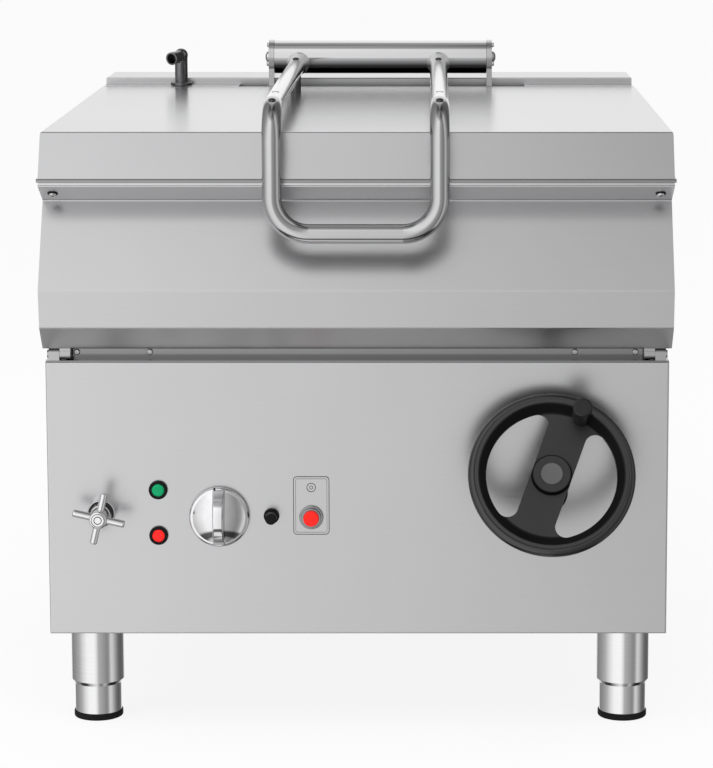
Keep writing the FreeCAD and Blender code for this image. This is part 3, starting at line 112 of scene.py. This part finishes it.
azimuth = wired(sky, "Math", {0: direction.outputs["X"], 1: backward.outputs[0]}, operation="ARCTAN2")
around = wired(sky, "MapRange", {"Value": azimuth.outputs[0], "From Min": -math.pi, "From Max": math.pi})
height = wired(sky, "MapRange", {"Value": direction.outputs["Z"], "From Min": -1.0, "From Max": 1.0})
stops_round = [((angle + 180) / 360, level) for angle, level in degrees_round]
stops_up = [((math.sin(math.radians(angle)) + 1) / 2, level) for angle, level in degrees_up]
walls = banded(sky, around.outputs[0], stops_round)
floor_to_ceiling = banded(sky, height.outputs[0], stops_up)
room = wired(sky, "VectorMath", {0: walls, 1: floor_to_ceiling}, operation="MULTIPLY")
mirrored = wired(sky, "Background", {"Color": room.outputs[0], "Strength": mirrored_strength})
diffuse = wired(sky, "Background", {"Color": (1, 1, 1, 1), "Strength": diffuse_strength})
white = wired(sky, "Background", {"Color": (1, 1, 1, 1), "Strength": white_strength})
rays = sky.nodes.new("ShaderNodeLightPath")
lighting = wired(sky, "MixShader",
                 {0: rays.outputs["Is Glossy Ray"], 1: diffuse.outputs[0], 2: mirrored.outputs[0]})
seen = wired(sky, "Math", {0: rays.outputs["Is Camera Ray"], 1: rays.outputs["Is Transmission Ray"]},
             operation="MAXIMUM")
surround = wired(sky, "MixShader", {0: seen.outputs[0], 1: lighting.outputs[0], 2: white.outputs[0]})
wired(sky, "OutputWorld", {0: surround.outputs[0]})

# The floor. One plain, pale sheet. The camera sees it nearly white with the machine's soft shadow on it,
# and metal doesn't mirror it, because the mirrored room has a floor of its own.
floor_reach = 30.0
floor_shade = (0.8, 0.8, 0.8, 1)
floor_white_share = 0.88
floor_shape = bmesh.new()
bmesh.ops.create_grid(floor_shape, x_segments=1, y_segments=1, size=floor_reach)
floor_data = bpy.data.meshes.new("floor")
floor_shape.to_mesh(floor_data)
floor_shape.free()
floor = bpy.data.objects.new("floor", floor_data)
bpy.context.scene.collection.objects.link(floor)
floor.visible_glossy = False
floor_paint = bpy.data.materials.new("pale_floor")
floor_paint.use_nodes = True
floor_tree = floor_paint.node_tree
floor_shader = floor_tree.nodes["Principled BSDF"]
floor_shader.inputs["Base Color"].default_value = floor_shade
floor_shader.inputs["Roughness"].default_value = 0.9
floor_shader.inputs["Specular IOR Level"].default_value = 0.0
floor_glow = wired(floor_tree, "Emission", {"Strength": white_strength})
floor_rays = floor_tree.nodes.new("ShaderNodeLightPath")
floor_share = wired(floor_tree, "Math", {0: floor_rays.outputs["Is Camera Ray"], 1: floor_white_share},
                    operation="MULTIPLY")
floor_mix = wired(floor_tree, "MixShader",
                  {0: floor_share.outputs[0], 1: floor_shader.outputs[0], 2: floor_glow.outputs[0]})
floor_tree.links.new(floor_mix.outputs[0], floor_tree.nodes["Material Output"].inputs[0])
floor_data.materials.append(floor_paint)

# The lamps. Two broad soft ones, high in front and at the left, light what is painted or moulded. Metal
# doesn't mirror them.
lamp_target = Vector((0, 0, 0.5))
lamp_settings = [("top_lamp", (-0.3, -2.2, 3.4), (3.0, 2.0), 60.0),
                 ("left_lamp", (-3.2, -2.4, 1.8), (1.8, 2.2), 30.0)]
for lamp_name, lamp_place, lamp_size, lamp_watts in lamp_settings:
    lamp_data = bpy.data.lights.new(lamp_name, "AREA")
    lamp_data.shape = "RECTANGLE"
    lamp_data.size, lamp_data.size_y = lamp_size
    lamp_data.energy = lamp_watts
    lamp = bpy.data.objects.new(lamp_name, lamp_data)
    bpy.context.scene.collection.objects.link(lamp)
    lamp.location = lamp_place
    lamp.rotation_euler = (lamp_target - Vector(lamp_place)).to_track_quat("-Z", "Y").to_euler()
    lamp.visible_glossy = False


# Cabinet skin. Austenitic sheet, satin-brushed along its length, folded and spot-welded; the front is
# one pierced sheet, the sides and the back are screwed to the frame inside.
def noise(tree, place, scale, detail=2.0):
    """A noise pattern laid on the piece's own coordinates."""
    return wired(tree, "TexNoise", {"Vector": place, "Scale": scale, "Detail": detail}).outputs["Fac"]


def between(tree, pattern, low, high):
    """A pattern's usual span, 0.3 to 0.7, spread from low to high."""
    span = {"Value": pattern, "From Min": 0.3, "From Max": 0.7, "To Min": low, "To Max": high}
    return wired(tree, "MapRange", span).outputs[0]


def new_finish(name, metallic):
    """A new material, with its node tree, its shader and the piece's own coordinates."""
    made = bpy.data.materials.new(name)
    made.use_nodes = True
    tree = made.node_tree
    shader = tree.nodes["Principled BSDF"]
    shader.inputs["Metallic"].default_value = metallic
    return made, tree, shader, tree.nodes.new("ShaderNodeTexCoord").outputs["Object"]


def surfaced(tree, shader, shade, tone, pattern, roughness, spread, relief, depth):
    """Wire a shade scaled by a tone, and a roughness and a relief that follow one pattern."""
    tinted = wired(tree, "VectorMath", {0: shade, "Scale": tone}, operation="SCALE")
    dulled = between(tree, pattern, roughness * (1 - spread), roughness * (1 + spread))
    raised = wired(tree, "Bump", {"Height": pattern, "Strength": relief, "Distance": depth})
    tree.links.new(tinted.outputs[0], shader.inputs["Base Color"])
    tree.links.new(dulled, shader.inputs["Roughness"])
    tree.links.new(raised.outputs[0], shader.inputs["Normal"])


def satin_steel(name, shade, grain, roughness=0.3, contrast=0.018, relief=0.015):
    """Brushed steel whose lines run along the axes named by grain."""
    along_lines, across_lines = 12.0, 1100.0
    steel, tree, shader, place = new_finish(name, 1.0)
    scale = [along_lines if axis in grain else across_lines for axis in "XYZ"]
    stretched = wired(tree, "Mapping", {"Vector": place, "Scale": scale})
    lines = noise(tree, stretched.outputs["Vector"], 1.0, 3.0)
    cloudy = between(tree, noise(tree, place, 4.0, 3.0), 0.985, 1.015)
    tone = wired(tree, "Math", {0: between(tree, lines, 1 - contrast, 1 + contrast), 1: cloudy},
                 operation="MULTIPLY")
    surfaced(tree, shader, shade, tone.outputs[0], lines, roughness, 0.07, relief, 0.0004)
    return steel


def dress(material, *names):
    """Give CAD nodes one finish."""
    for name in names:
        nodes[name].data.materials.clear()
        nodes[name].data.materials.append(material)


sheet_across = satin_steel("sheet_brushed_across", (0.555, 0.555, 0.562), "X", 0.3)
sheet_along = satin_steel("sheet_brushed_along_the_side", (0.555, 0.555, 0.56), "Y", 0.32)
dress(sheet_across, "front_panel", "rear_panel", "rear_upstand")
dress(sheet_along, "side_panels")

# Deck and tilt hinge. The deck is finer polished than the panels; it lies in the pan's shade, and its colour
# is darkened as painted shade for it; bearing blocks and pins are milled and turned, bolted from below.
deck_steel_painted_shade = satin_steel("deck_steel_painted_shade", (0.23, 0.23, 0.233), "X", 0.16, 0.02)
turned_steel = satin_steel("turned_steel", (0.42, 0.42, 0.425), "XYZ", 0.24, 0.06)
dress(deck_steel_painted_shade, "top_deck")
dress(turned_steel, "tilt_brackets", "tilt_pins", "deck_screws", "jack_stage", "jack_rod", "lid_spring",
      "grip_spindle", "wheel_shaft", "cross_shaft", "hinge_shaft")


# Rubber, plastic and castings. Matt surfaces with a fine grain of their own; buffers sit loosely on
# the deck, castings are bolted to the cross beam.
def grained(name, shade, roughness, grain_size=900.0, depth=0.15, shine=0.4):
    """A moulded or painted surface with a fine, even grain."""
    made, tree, shader, place = new_finish(name, 0.0)
    shader.inputs["Specular IOR Level"].default_value = shine
    cloudy = between(tree, noise(tree, place, 18.0), 0.85, 1.15)
    surfaced(tree, shader, shade, cloudy, noise(tree, place, grain_size), roughness, 0.1, depth, 0.0002)
    return made


rubber = grained("black_rubber", (0.012, 0.012, 0.012), 0.6)
black_plastic = grained("black_plastic", (0.004, 0.004, 0.004), 0.3, 900.0, 0.1, 0.12)
grey_moulding = grained("grey_moulding", (0.075, 0.075, 0.077), 0.45)
painted_casting = grained("painted_casting", (0.2, 0.205, 0.21), 0.5, 300.0, 0.3)
bronze = grained("bronze_bush", (0.5, 0.33, 0.13), 0.35)
dress(rubber, "rest_pads")
dress(painted_casting, "gearbox", "shaft_pedestals", "jack_body")
dress(bronze, "hinge_bushes")

# Inside of the cabinet and under the pan. Mill-finish steel, welded and left unpolished because nobody
# sees it in use.
mill_steel = satin_steel("mill_finish_steel", (0.42, 0.42, 0.425), "X", 0.42, 0.05)
dress(mill_steel, "chassis", "switchgear_box", "shaft_sleeve", "heated_plate", "heating_elements",
      "under_tray", "jack_lug")


# Legs. Sleeves of tube, brushed round and welded to the floor of the cabinet, and feet that screw up and
# down in them: a steel tube that stands in a ribbed black pad.
def two_finishes(name, first, second, axis, border, rib=0.0):
    """First finish below a border on one of the piece's own axes, second finish above it."""
    low_shine = 0.12
    both, tree, upper, place = new_finish(name, 0.0)
    lower = wired(tree, "BsdfPrincipled", {"Specular IOR Level": low_shine})
    apart = wired(tree, "SeparateXYZ", {0: place})
    chosen = wired(tree, "Math", {0: apart.outputs[axis], 1: border}, operation="GREATER_THAN")
    lines = noise(tree, place, 700.0)
    tone = between(tree, lines, 0.97, 1.03)
    for shader, (shade, metallic, roughness) in ((lower, first), (upper, second)):
        shader.inputs["Metallic"].default_value = metallic
        surfaced(tree, shader, shade, tone, lines, roughness, 0.15, 0.03, 0.0003)
    if rib:
        ribs = wired(tree, "TexWave", {"Vector": place, "Scale": rib}, bands_direction="X")
        ribbed = wired(tree, "Bump", {"Height": ribs.outputs["Fac"], "Strength": 0.6, "Distance": 0.0006})
        tree.links.new(ribbed.outputs[0], lower.inputs["Normal"])
    mix = wired(tree, "MixShader", {0: chosen.outputs[0], 1: lower.outputs[0], 2: upper.outputs[0]})
    tree.links.new(mix.outputs[0], tree.nodes["Material Output"].inputs[0])
    return both


pad_top = 0.009
pad_rib = 160.0
pad_look = ((0.01, 0.01, 0.01), 0.0, 0.6)
foot_look = ((0.7, 0.7, 0.705), 1.0, 0.12)
tube_steel = satin_steel("tube_steel", (0.7, 0.7, 0.705), "XY", 0.13, 0.03, 0.02)
foot_finish = two_finishes("foot_steel_and_pad", pad_look, foot_look, "Z", pad_top, pad_rib)
dress(tube_steel, "leg_sleeves")
dress(foot_finish, "foot_front_left", "foot_front_right", "foot_rear_left", "foot_rear_right")

# Pan. Apron and casing folded from brushed sheet; the vessel inside is deep-drawn and polished, welded
# to its rim plate.
vessel_steel = satin_steel("vessel_steel", (0.6, 0.6, 0.605), "X", 0.2, 0.02)
dress(sheet_across, "pan_front")
dress(sheet_along, "pan_casing")
dress(vessel_steel, "tub")


# Band screws. Bright socket screws, one near each end of the band under the pan's lip, each with a black
# cup washer round its head and a black disc as painted shade in its socket.
def finished(name, shape, material, body):
    """The object made of a shape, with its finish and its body."""
    data = bpy.data.meshes.new(name)
    for face in shape.faces:
        face.smooth = True
    shape.to_mesh(data)
    shape.free()
    data.set_sharp_from_angle(angle=math.radians(35))
    data.materials.append(material)
    piece = bpy.data.objects.new(name, data)
    bpy.context.scene.collection.objects.link(piece)
    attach(piece, body)
    return piece


def turned(name, profile, place, axis, material, body, steps=48):
    """A piece lathed from (radius, height) points about an axis through a place."""
    shape = bmesh.new()
    ring = [shape.verts.new((radius, 0, rise)) for radius, rise in profile]
    edges = [shape.edges.new((a, b)) for a, b in zip(ring, ring[1:])]
    bmesh.ops.spin(shape, geom=ring + edges, cent=(0, 0, 0), axis=(0, 0, 1), angle=math.tau, steps=steps,
                   use_merge=True)
    bmesh.ops.remove_doubles(shape, verts=shape.verts, dist=0.00001)
    bmesh.ops.recalc_face_normals(shape, faces=shape.faces)
    turn = Vector((0, 0, 1)).rotation_difference(Vector(axis)).to_matrix().to_4x4()
    bmesh.ops.transform(shape, matrix=Matrix.Translation(place) @ turn, verts=shape.verts)
    return finished(name, shape, material, body)


bright_screw = satin_steel("bright_screw_steel", (0.62, 0.62, 0.625), "XYZ", 0.16, 0.04)
band_screw_x, band_screw_y, band_screw_z = 0.387, -0.3795, 0.7132
band_out = Vector((0, -0.4311, -0.9023))
cup_washer = [(0.0045, 0.0), (0.0068, 0.0), (0.0068, 0.0009), (0.0056, 0.0013), (0.0045, 0.0)]
# Painted shade: a black disc stands in for the shade inside each screw's hex socket.
socket_shade_disc = [(0.0, 0.0038), (0.0022, 0.0038), (0.0022, 0.0018), (0.0, 0.0018)]
dress(bright_screw, "pan_screws")
for side, screw_x in (("left", -band_screw_x), ("right", band_screw_x)):
    seat = Vector((screw_x, band_screw_y, band_screw_z))
    turned("band_washer_" + side, cup_washer, seat, band_out, black_plastic, "pan")
    turned("band_socket_shade_" + side, socket_shade_disc, seat, band_out, black_plastic, "pan")


# Lid. Double-walled; the outer skin is brushed across and hemmed at its rim, and painted shade dims the hem
# and draws a dark crease above it. The handle is one bent tube, satin-ground and screwed to the lid through
# four spacers.
def painted_shade_by_height(steel, stops):
    """Paint shade onto a steel by the piece's own height, scaling its colour with (height, level) stops."""
    tree = steel.node_tree
    base = tree.nodes["Principled BSDF"].inputs["Base Color"]
    place = tree.nodes.new("ShaderNodeTexCoord").outputs["Object"]
    apart = wired(tree, "SeparateXYZ", {0: place})
    low, high = stops[0][0], stops[-1][0]
    along = wired(tree, "MapRange", {"Value": apart.outputs["Z"], "From Min": low, "From Max": high})
    levels = banded(tree, along.outputs[0], [((at - low) / (high - low), level) for at, level in stops])
    toned = wired(tree, "VectorMath", {0: base.links[0].from_socket, 1: levels}, operation="MULTIPLY")
    tree.links.new(toned.outputs[0], base)


lid_steel_painted_hem_shade = satin_steel("lid_brushed_steel_painted_hem_shade", (0.5, 0.5, 0.507), "X", 0.24)
# Painted shade: the colour dims to 0.62 over the hem and to 0.25 in a thin crease line above it.
hem_painted_shade_levels = ((0.728, 0.3), (0.7295, 0.62), (0.7325, 0.62), (0.733, 0.25), (0.7339, 0.25), (0.7345, 1.0))
painted_shade_by_height(lid_steel_painted_hem_shade, hem_painted_shade_levels)
ground_tube = satin_steel("ground_tube_steel", (0.49, 0.49, 0.495), "XYZ", 0.12, 0.03, 0.02)
dark_screw = satin_steel("dark_screw_steel", (0.1, 0.1, 0.102), "XYZ", 0.3, 0.05)
dress(lid_steel_painted_hem_shade, "lid_shell")
dress(vessel_steel, "lid_liner")
dress(ground_tube, "lid_handle")
dress(dark_screw, "handle_fixings")
handle_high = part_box("lid_handle")[1]
handle_tube_radius = 0.0125
arm_x = handle_high.x - handle_tube_radius
knee_middle_y, knee_middle_z, knee_outside = -0.3855, 0.780, 0.0583
knee_turn = math.radians(21)
knee_out = Vector((0, -math.sin(knee_turn), math.cos(knee_turn)))
rear_screw_y = 0.2565
rear_screw_sink = 0.0002
rear_screw_z = handle_high.z - rear_screw_sink
screw_dome = [(0.0, 0.0026), (0.0024, 0.0023), (0.0043, 0.0012), (0.005, 0.0), (0.0, 0.0)]
for side, arm in (("left", -arm_x), ("right", arm_x)):
    knee = Vector((arm, knee_middle_y, knee_middle_z)) + knee_out * knee_outside
    turned("handle_screw_front_" + side, screw_dome, knee, knee_out, dark_screw, "lid", 24)
    turned("handle_screw_rear_" + side, screw_dome, (arm, rear_screw_y, rear_screw_z), (0, 0, 1),
           dark_screw, "lid", 24)

# Lid hinge. A polished tube across the back of the lid between two end plates that are bolted to the
# pan's back; a cap nut closes the shaft at each end.
polished_tube_painted_shade = satin_steel("polished_tube_steel", (0.62, 0.62, 0.625), "X", 0.09, 0.02, 0.01)
plate_edge_steel = satin_steel("hinge_plate_steel", (0.5, 0.5, 0.505), "Z", 0.2, 0.03)
# Painted shade: the tube's colour falls to an eighth towards its underside, standing in for the dark gap it
# mirrors behind the lid.
painted_shade_by_height(polished_tube_painted_shade, ((0.823, 0.12), (0.832, 1.0)))
dress(polished_tube_painted_shade, "hinge_tube")
dress(plate_edge_steel, "hinge_plates")
hinge_middle = Vector(joints["lid_open"]["pos_m"])
shaft_low, shaft_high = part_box("hinge_shaft")
shaft_end_gap = 0.0004
cap_nut = [(0.0, 0.0062), (0.005, 0.0055), (0.0085, 0.003), (0.009, 0.0), (0.0, 0.0)]
bolt_head = [(0.0, 0.0032), (0.0028, 0.0032), (0.0038, 0.0022), (0.0038, 0.0), (0.0, 0.0)]
bolt_places = ((0.0, 0.018), (-0.016, -0.009), (0.016, -0.009))
for side, end, way in (("left", shaft_low.x - shaft_end_gap, -1), ("right", shaft_high.x + shaft_end_gap, 1)):
    turned("hinge_cap_nut_" + side, cap_nut, (end, hinge_middle.y, hinge_middle.z), (way, 0, 0), bright_screw,
           "pan")
    for number, (across, rise) in enumerate(bolt_places, 1):
        turned("hinge_bolt_%s_%d" % (side, number), bolt_head,
               (end, hinge_middle.y + across, hinge_middle.z + rise), (way, 0, 0), bright_screw, "pan",
               24)


# Plated pieces. Spout, valve, cross handle and knob are plated brass, mirror-bright, the spout's colour
# darkened as a painted reflection of dark surroundings; the pipe behind them is drawn copper.
def plated(name, shade, roughness, crown=None, bend=0.0):
    """A plated surface with a faint ripple, shaded by bend as if domed about a crown."""
    plating, tree, shader, place = new_finish(name, 1.0)
    ripple = noise(tree, place, 60.0)
    surfaced(tree, shader, shade, between(tree, ripple, 0.95, 1.03), ripple, roughness, 0.2, 0.02, 0.0005)
    if crown:
        outward = wired(tree, "VectorMath", {0: place, 1: crown}, operation="SUBTRACT")
        lean = wired(tree, "VectorMath", {0: outward.outputs[0], 1: (bend, 0.0, bend)}, operation="MULTIPLY")
        in_world = wired(tree, "VectorTransform", {0: lean.outputs[0]}, vector_type="VECTOR",
                         convert_from="OBJECT", convert_to="WORLD")
        own = tree.nodes.new("ShaderNodeNewGeometry")
        domed = wired(tree, "VectorMath", {0: in_world.outputs[0], 1: own.outputs["Normal"]}, operation="ADD")
        unit = wired(tree, "VectorMath", {0: domed.outputs[0]}, operation="NORMALIZE")
        tree.links.new(unit.outputs[0], shader.inputs["Normal"])
    return plating


knob_middle = Vector(joints["selector_turn"]["pos_m"])
crown_bend = 8.0
chrome = plated("chrome_plate", (0.72, 0.72, 0.73), 0.06)
# Painted reflection: the spout's chrome is darkened to 0.16 to stand in for the dark surroundings it mirrors.
chrome_painted_dark_reflection = plated("dark_chrome_plate", (0.16, 0.16, 0.165), 0.08)
copper = plated("copper_pipe", (0.72, 0.42, 0.3), 0.2)
knob_chrome = plated("knob_chrome_plate", (0.72, 0.72, 0.73), 0.05, knob_middle, crown_bend)
dress(chrome, "water_valve", "tap_handle")
dress(knob_chrome, "selector_knob")
dress(chrome_painted_dark_reflection, "spout", "spout_base")
dress(copper, "water_pipe")


# Water tap. The cross handle's hub has turned rings on its face; behind it a black seal lies inside the
# valve's chromed collar.
def flat_ring(inner, outer):
    """The profile of a ring that lies flat on a face and stands 0.3 mm proud of it."""
    proud = 0.0003
    return [(inner, 0.0), (inner, proud), (outer, proud), (outer, 0.0), (inner, 0.0)]


tap_middle = Vector(joints["tap_turn"]["pos_m"])
tap_out = Vector(joints["tap_turn"]["axis"])
hub_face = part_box("tap_handle")[0].y
seal_depth = 0.01
seal_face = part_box("water_valve")[0].y + seal_depth
seal_ring = [(0.0133, 0.0), (0.0133, 0.0014), (0.0162, 0.0014), (0.0166, 0.0), (0.0133, 0.0)]
turned("tap_seal", seal_ring, (tap_middle.x, seal_face, tap_middle.z), tap_out, rubber, "cabinet")
for ring_name, inner, outer in (("outer", 0.0078, 0.0086), ("inner", 0.0042, 0.0052)):
    turned("tap_hub_ring_" + ring_name, flat_ring(inner, outer), (tap_middle.x, hub_face, tap_middle.z),
           tap_out, black_plastic, "tap_handle")

# Signal lamps and regulator. Flat black bezels with domed, coloured lenses; the regulator's knob carries
# one dark index dot, let into the rounding of its skirt.
red_plastic = grained("red_plastic", (0.93, 0.02, 0.015), 0.3, 600.0, 0.05, 0.15)
red_lens_plastic = grained("red_lens_plastic", (0.93, 0.02, 0.018), 0.25, 600.0, 0.05, 0.15)
green_lens_plastic = grained("green_lens_plastic", (0.003, 0.3, 0.115), 0.25, 600.0, 0.05, 0.15)
dress(black_plastic, "lamp_holders", "regulator", "reset_button", "cable_gland")
dress(red_plastic, "red_button")
dress(red_lens_plastic, "red_lens")
dress(green_lens_plastic, "green_lens")
to_the_cook = Vector((0, -1, 0))
skirt_face = -0.3918
index_reach = 0.0379
index_lean = math.radians(-8.6)
index_outward = Vector((math.sin(index_lean), 0, math.cos(index_lean)))
rounding_rise, rounding_front = 0.64, 0.77
rounding_out = index_outward * rounding_rise + to_the_cook * rounding_front
index_dot = [(0.0, 0.0004), (0.0014, 0.0004), (0.0016, -0.0003), (0.0, -0.0003)]
turned("knob_index_dot", index_dot,
       Vector((knob_middle.x, skirt_face, knob_middle.z)) + index_outward * index_reach, rounding_out,
       black_plastic, "selector_knob", 24)


# Button plate. A thin plate behind the push button, with an engraved double border and a plain ring mark;
# the button's collar is satin metal and the reset button's is black.
def border(name, width, tall, corner, stroke, middle, material, body, slot):
    """An upright frame with round corners, stroke wide and 0.3 mm proud of the sheet behind it."""
    proud = 0.0003
    upright = Matrix.Rotation(math.radians(90), 4, "X")
    shape = bmesh.new()
    bmesh.ops.create_grid(shape, x_segments=1, y_segments=1, size=0.5)
    bmesh.ops.scale(shape, vec=(width, tall, 1), verts=shape.verts)
    bmesh.ops.bevel(shape, geom=list(shape.verts), offset=corner, segments=8, profile=0.5, material=-1,
                    affect="VERTICES")
    field = list(shape.faces)
    bmesh.ops.inset_region(shape, faces=field, thickness=stroke, use_boundary=True, use_even_offset=True)
    bmesh.ops.delete(shape, geom=field, context="FACES")
    bmesh.ops.transform(shape, matrix=Matrix.Translation(middle) @ upright, verts=shape.verts)
    solid = bmesh.ops.extrude_face_region(shape, geom=list(shape.faces))
    raised = [part for part in solid["geom"] if isinstance(part, bmesh.types.BMVert)]
    bmesh.ops.translate(shape, verts=raised, vec=to_the_cook * proud)
    bmesh.ops.recalc_face_normals(shape, faces=shape.faces)
    return finished(name, shape, material, body)


engraving = satin_steel("engraved_line_steel", (0.04, 0.04, 0.041), "XYZ", 0.4, 0.05)
dress(sheet_across, "button_plate")
plate_low, plate_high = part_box("button_plate")
plate_size = plate_high - plate_low
plate_face = Vector(((plate_low.x + plate_high.x) / 2, plate_low.y, (plate_low.z + plate_high.z) / 2))
border_lines = (("outer", 0.0002, 0.0049, 0.0008), ("inner", 0.0031, 0.0028, 0.0004))
for line_name, inset, corner, stroke in border_lines:
    border("plate_border_" + line_name, plate_size.x - 2 * inset, plate_size.z - 2 * inset, corner, stroke,
           plate_face, engraving, "cabinet", "black_plastic")
mark_rise = Vector((0, 0, 0.0237))
for ring_name, inner, outer in (("outer", 0.0052, 0.006), ("inner", 0.0017, 0.0024)):
    turned("plate_ring_" + ring_name, flat_ring(inner, outer), plate_face + mark_rise, to_the_cook,
           engraving, "cabinet")
reset_collar_look = ((0.009, 0.009, 0.009), 0.0, 0.35)
red_collar_look = ((0.3, 0.3, 0.305), 1.0, 0.25)
between_collars = -0.09
bezel_finish = two_finishes("bezel_plastic_and_metal", reset_collar_look, red_collar_look, "X",
                            between_collars)
dress(bezel_finish, "button_bezels")

# Handwheel. Black thermoset moulding with a revolving grip and a grey press-in cap, polished on its rim, with
# painted shade in the groove round the hub and on the rim's inner wall; a grub screw in the shaft's collar
# holds it.
wheel_centre = Vector(joints["handwheel_turn"]["pos_m"])
shaft_out = -Vector(joints["handwheel_turn"]["axis"])
black_moulding = grained("black_moulding", (0.006, 0.006, 0.0065), 0.3, 1400.0, 0.1, 0.35)
wheel_moulding_painted_shade = grained("wheel_moulding_painted_shade", (0.006, 0.006, 0.0065), 0.3, 1400.0, 0.1, 0.35)
# Painted shade: the shine drops to 0.03 in the groove round the hub and on the rim's inner wall, so these
# recesses render dark.
shine_and_painted_shade_by_radius = ((0.0, 0.6), (0.023, 0.6), (0.0238, 0.03), (0.0255, 0.03), (0.0263, 0.6), (0.079, 0.6),
                   (0.081, 0.03), (0.091, 0.03), (0.094, 0.7))
roughness_by_radius = ((0.0, 0.5), (0.091, 0.4), (0.094, 0.14))
wheel_reach = 0.11
wheel_tree = wheel_moulding_painted_shade.node_tree
wheel_shader = wheel_tree.nodes["Principled BSDF"]
wheel_place = wheel_tree.nodes.new("ShaderNodeTexCoord").outputs["Object"]
from_centre = wired(wheel_tree, "VectorMath", {0: wheel_place, 1: wheel_centre}, operation="SUBTRACT")
across_axis = wired(wheel_tree, "VectorMath", {0: from_centre.outputs[0], 1: shaft_out},
                    operation="CROSS_PRODUCT")
radius = wired(wheel_tree, "VectorMath", {0: across_axis.outputs[0]}, operation="LENGTH")
share = wired(wheel_tree, "Math", {0: radius.outputs["Value"], 1: wheel_reach}, operation="DIVIDE")
for socket, levels in (("Specular IOR Level", shine_and_painted_shade_by_radius), ("Roughness", roughness_by_radius)):
    bands = banded(wheel_tree, share.outputs[0], [(at / wheel_reach, level) for at, level in levels])
    wheel_tree.links.new(bands, wheel_shader.inputs[socket])
dress(wheel_moulding_painted_shade, "handwheel")
dress(black_moulding, "wheel_grip")
dress(grey_moulding, "hub_cap")
rightward = Vector((1, 0, 0))
wheel_up = shaft_out.cross(rightward)
collar_back = 0.0365
collar_radius = 0.0188
screw_out = (rightward * 0.8 - wheel_up * 0.6).normalized()
grub_screw = [(0.0, 0.0026), (0.0026, 0.0026), (0.0034, 0.0018), (0.0034, 0.0), (0.0, 0.0)]
turned("wheel_grub_screw", grub_screw, wheel_centre - shaft_out * collar_back + screw_out * collar_radius,
       screw_out, bright_screw, "handwheel", 24)
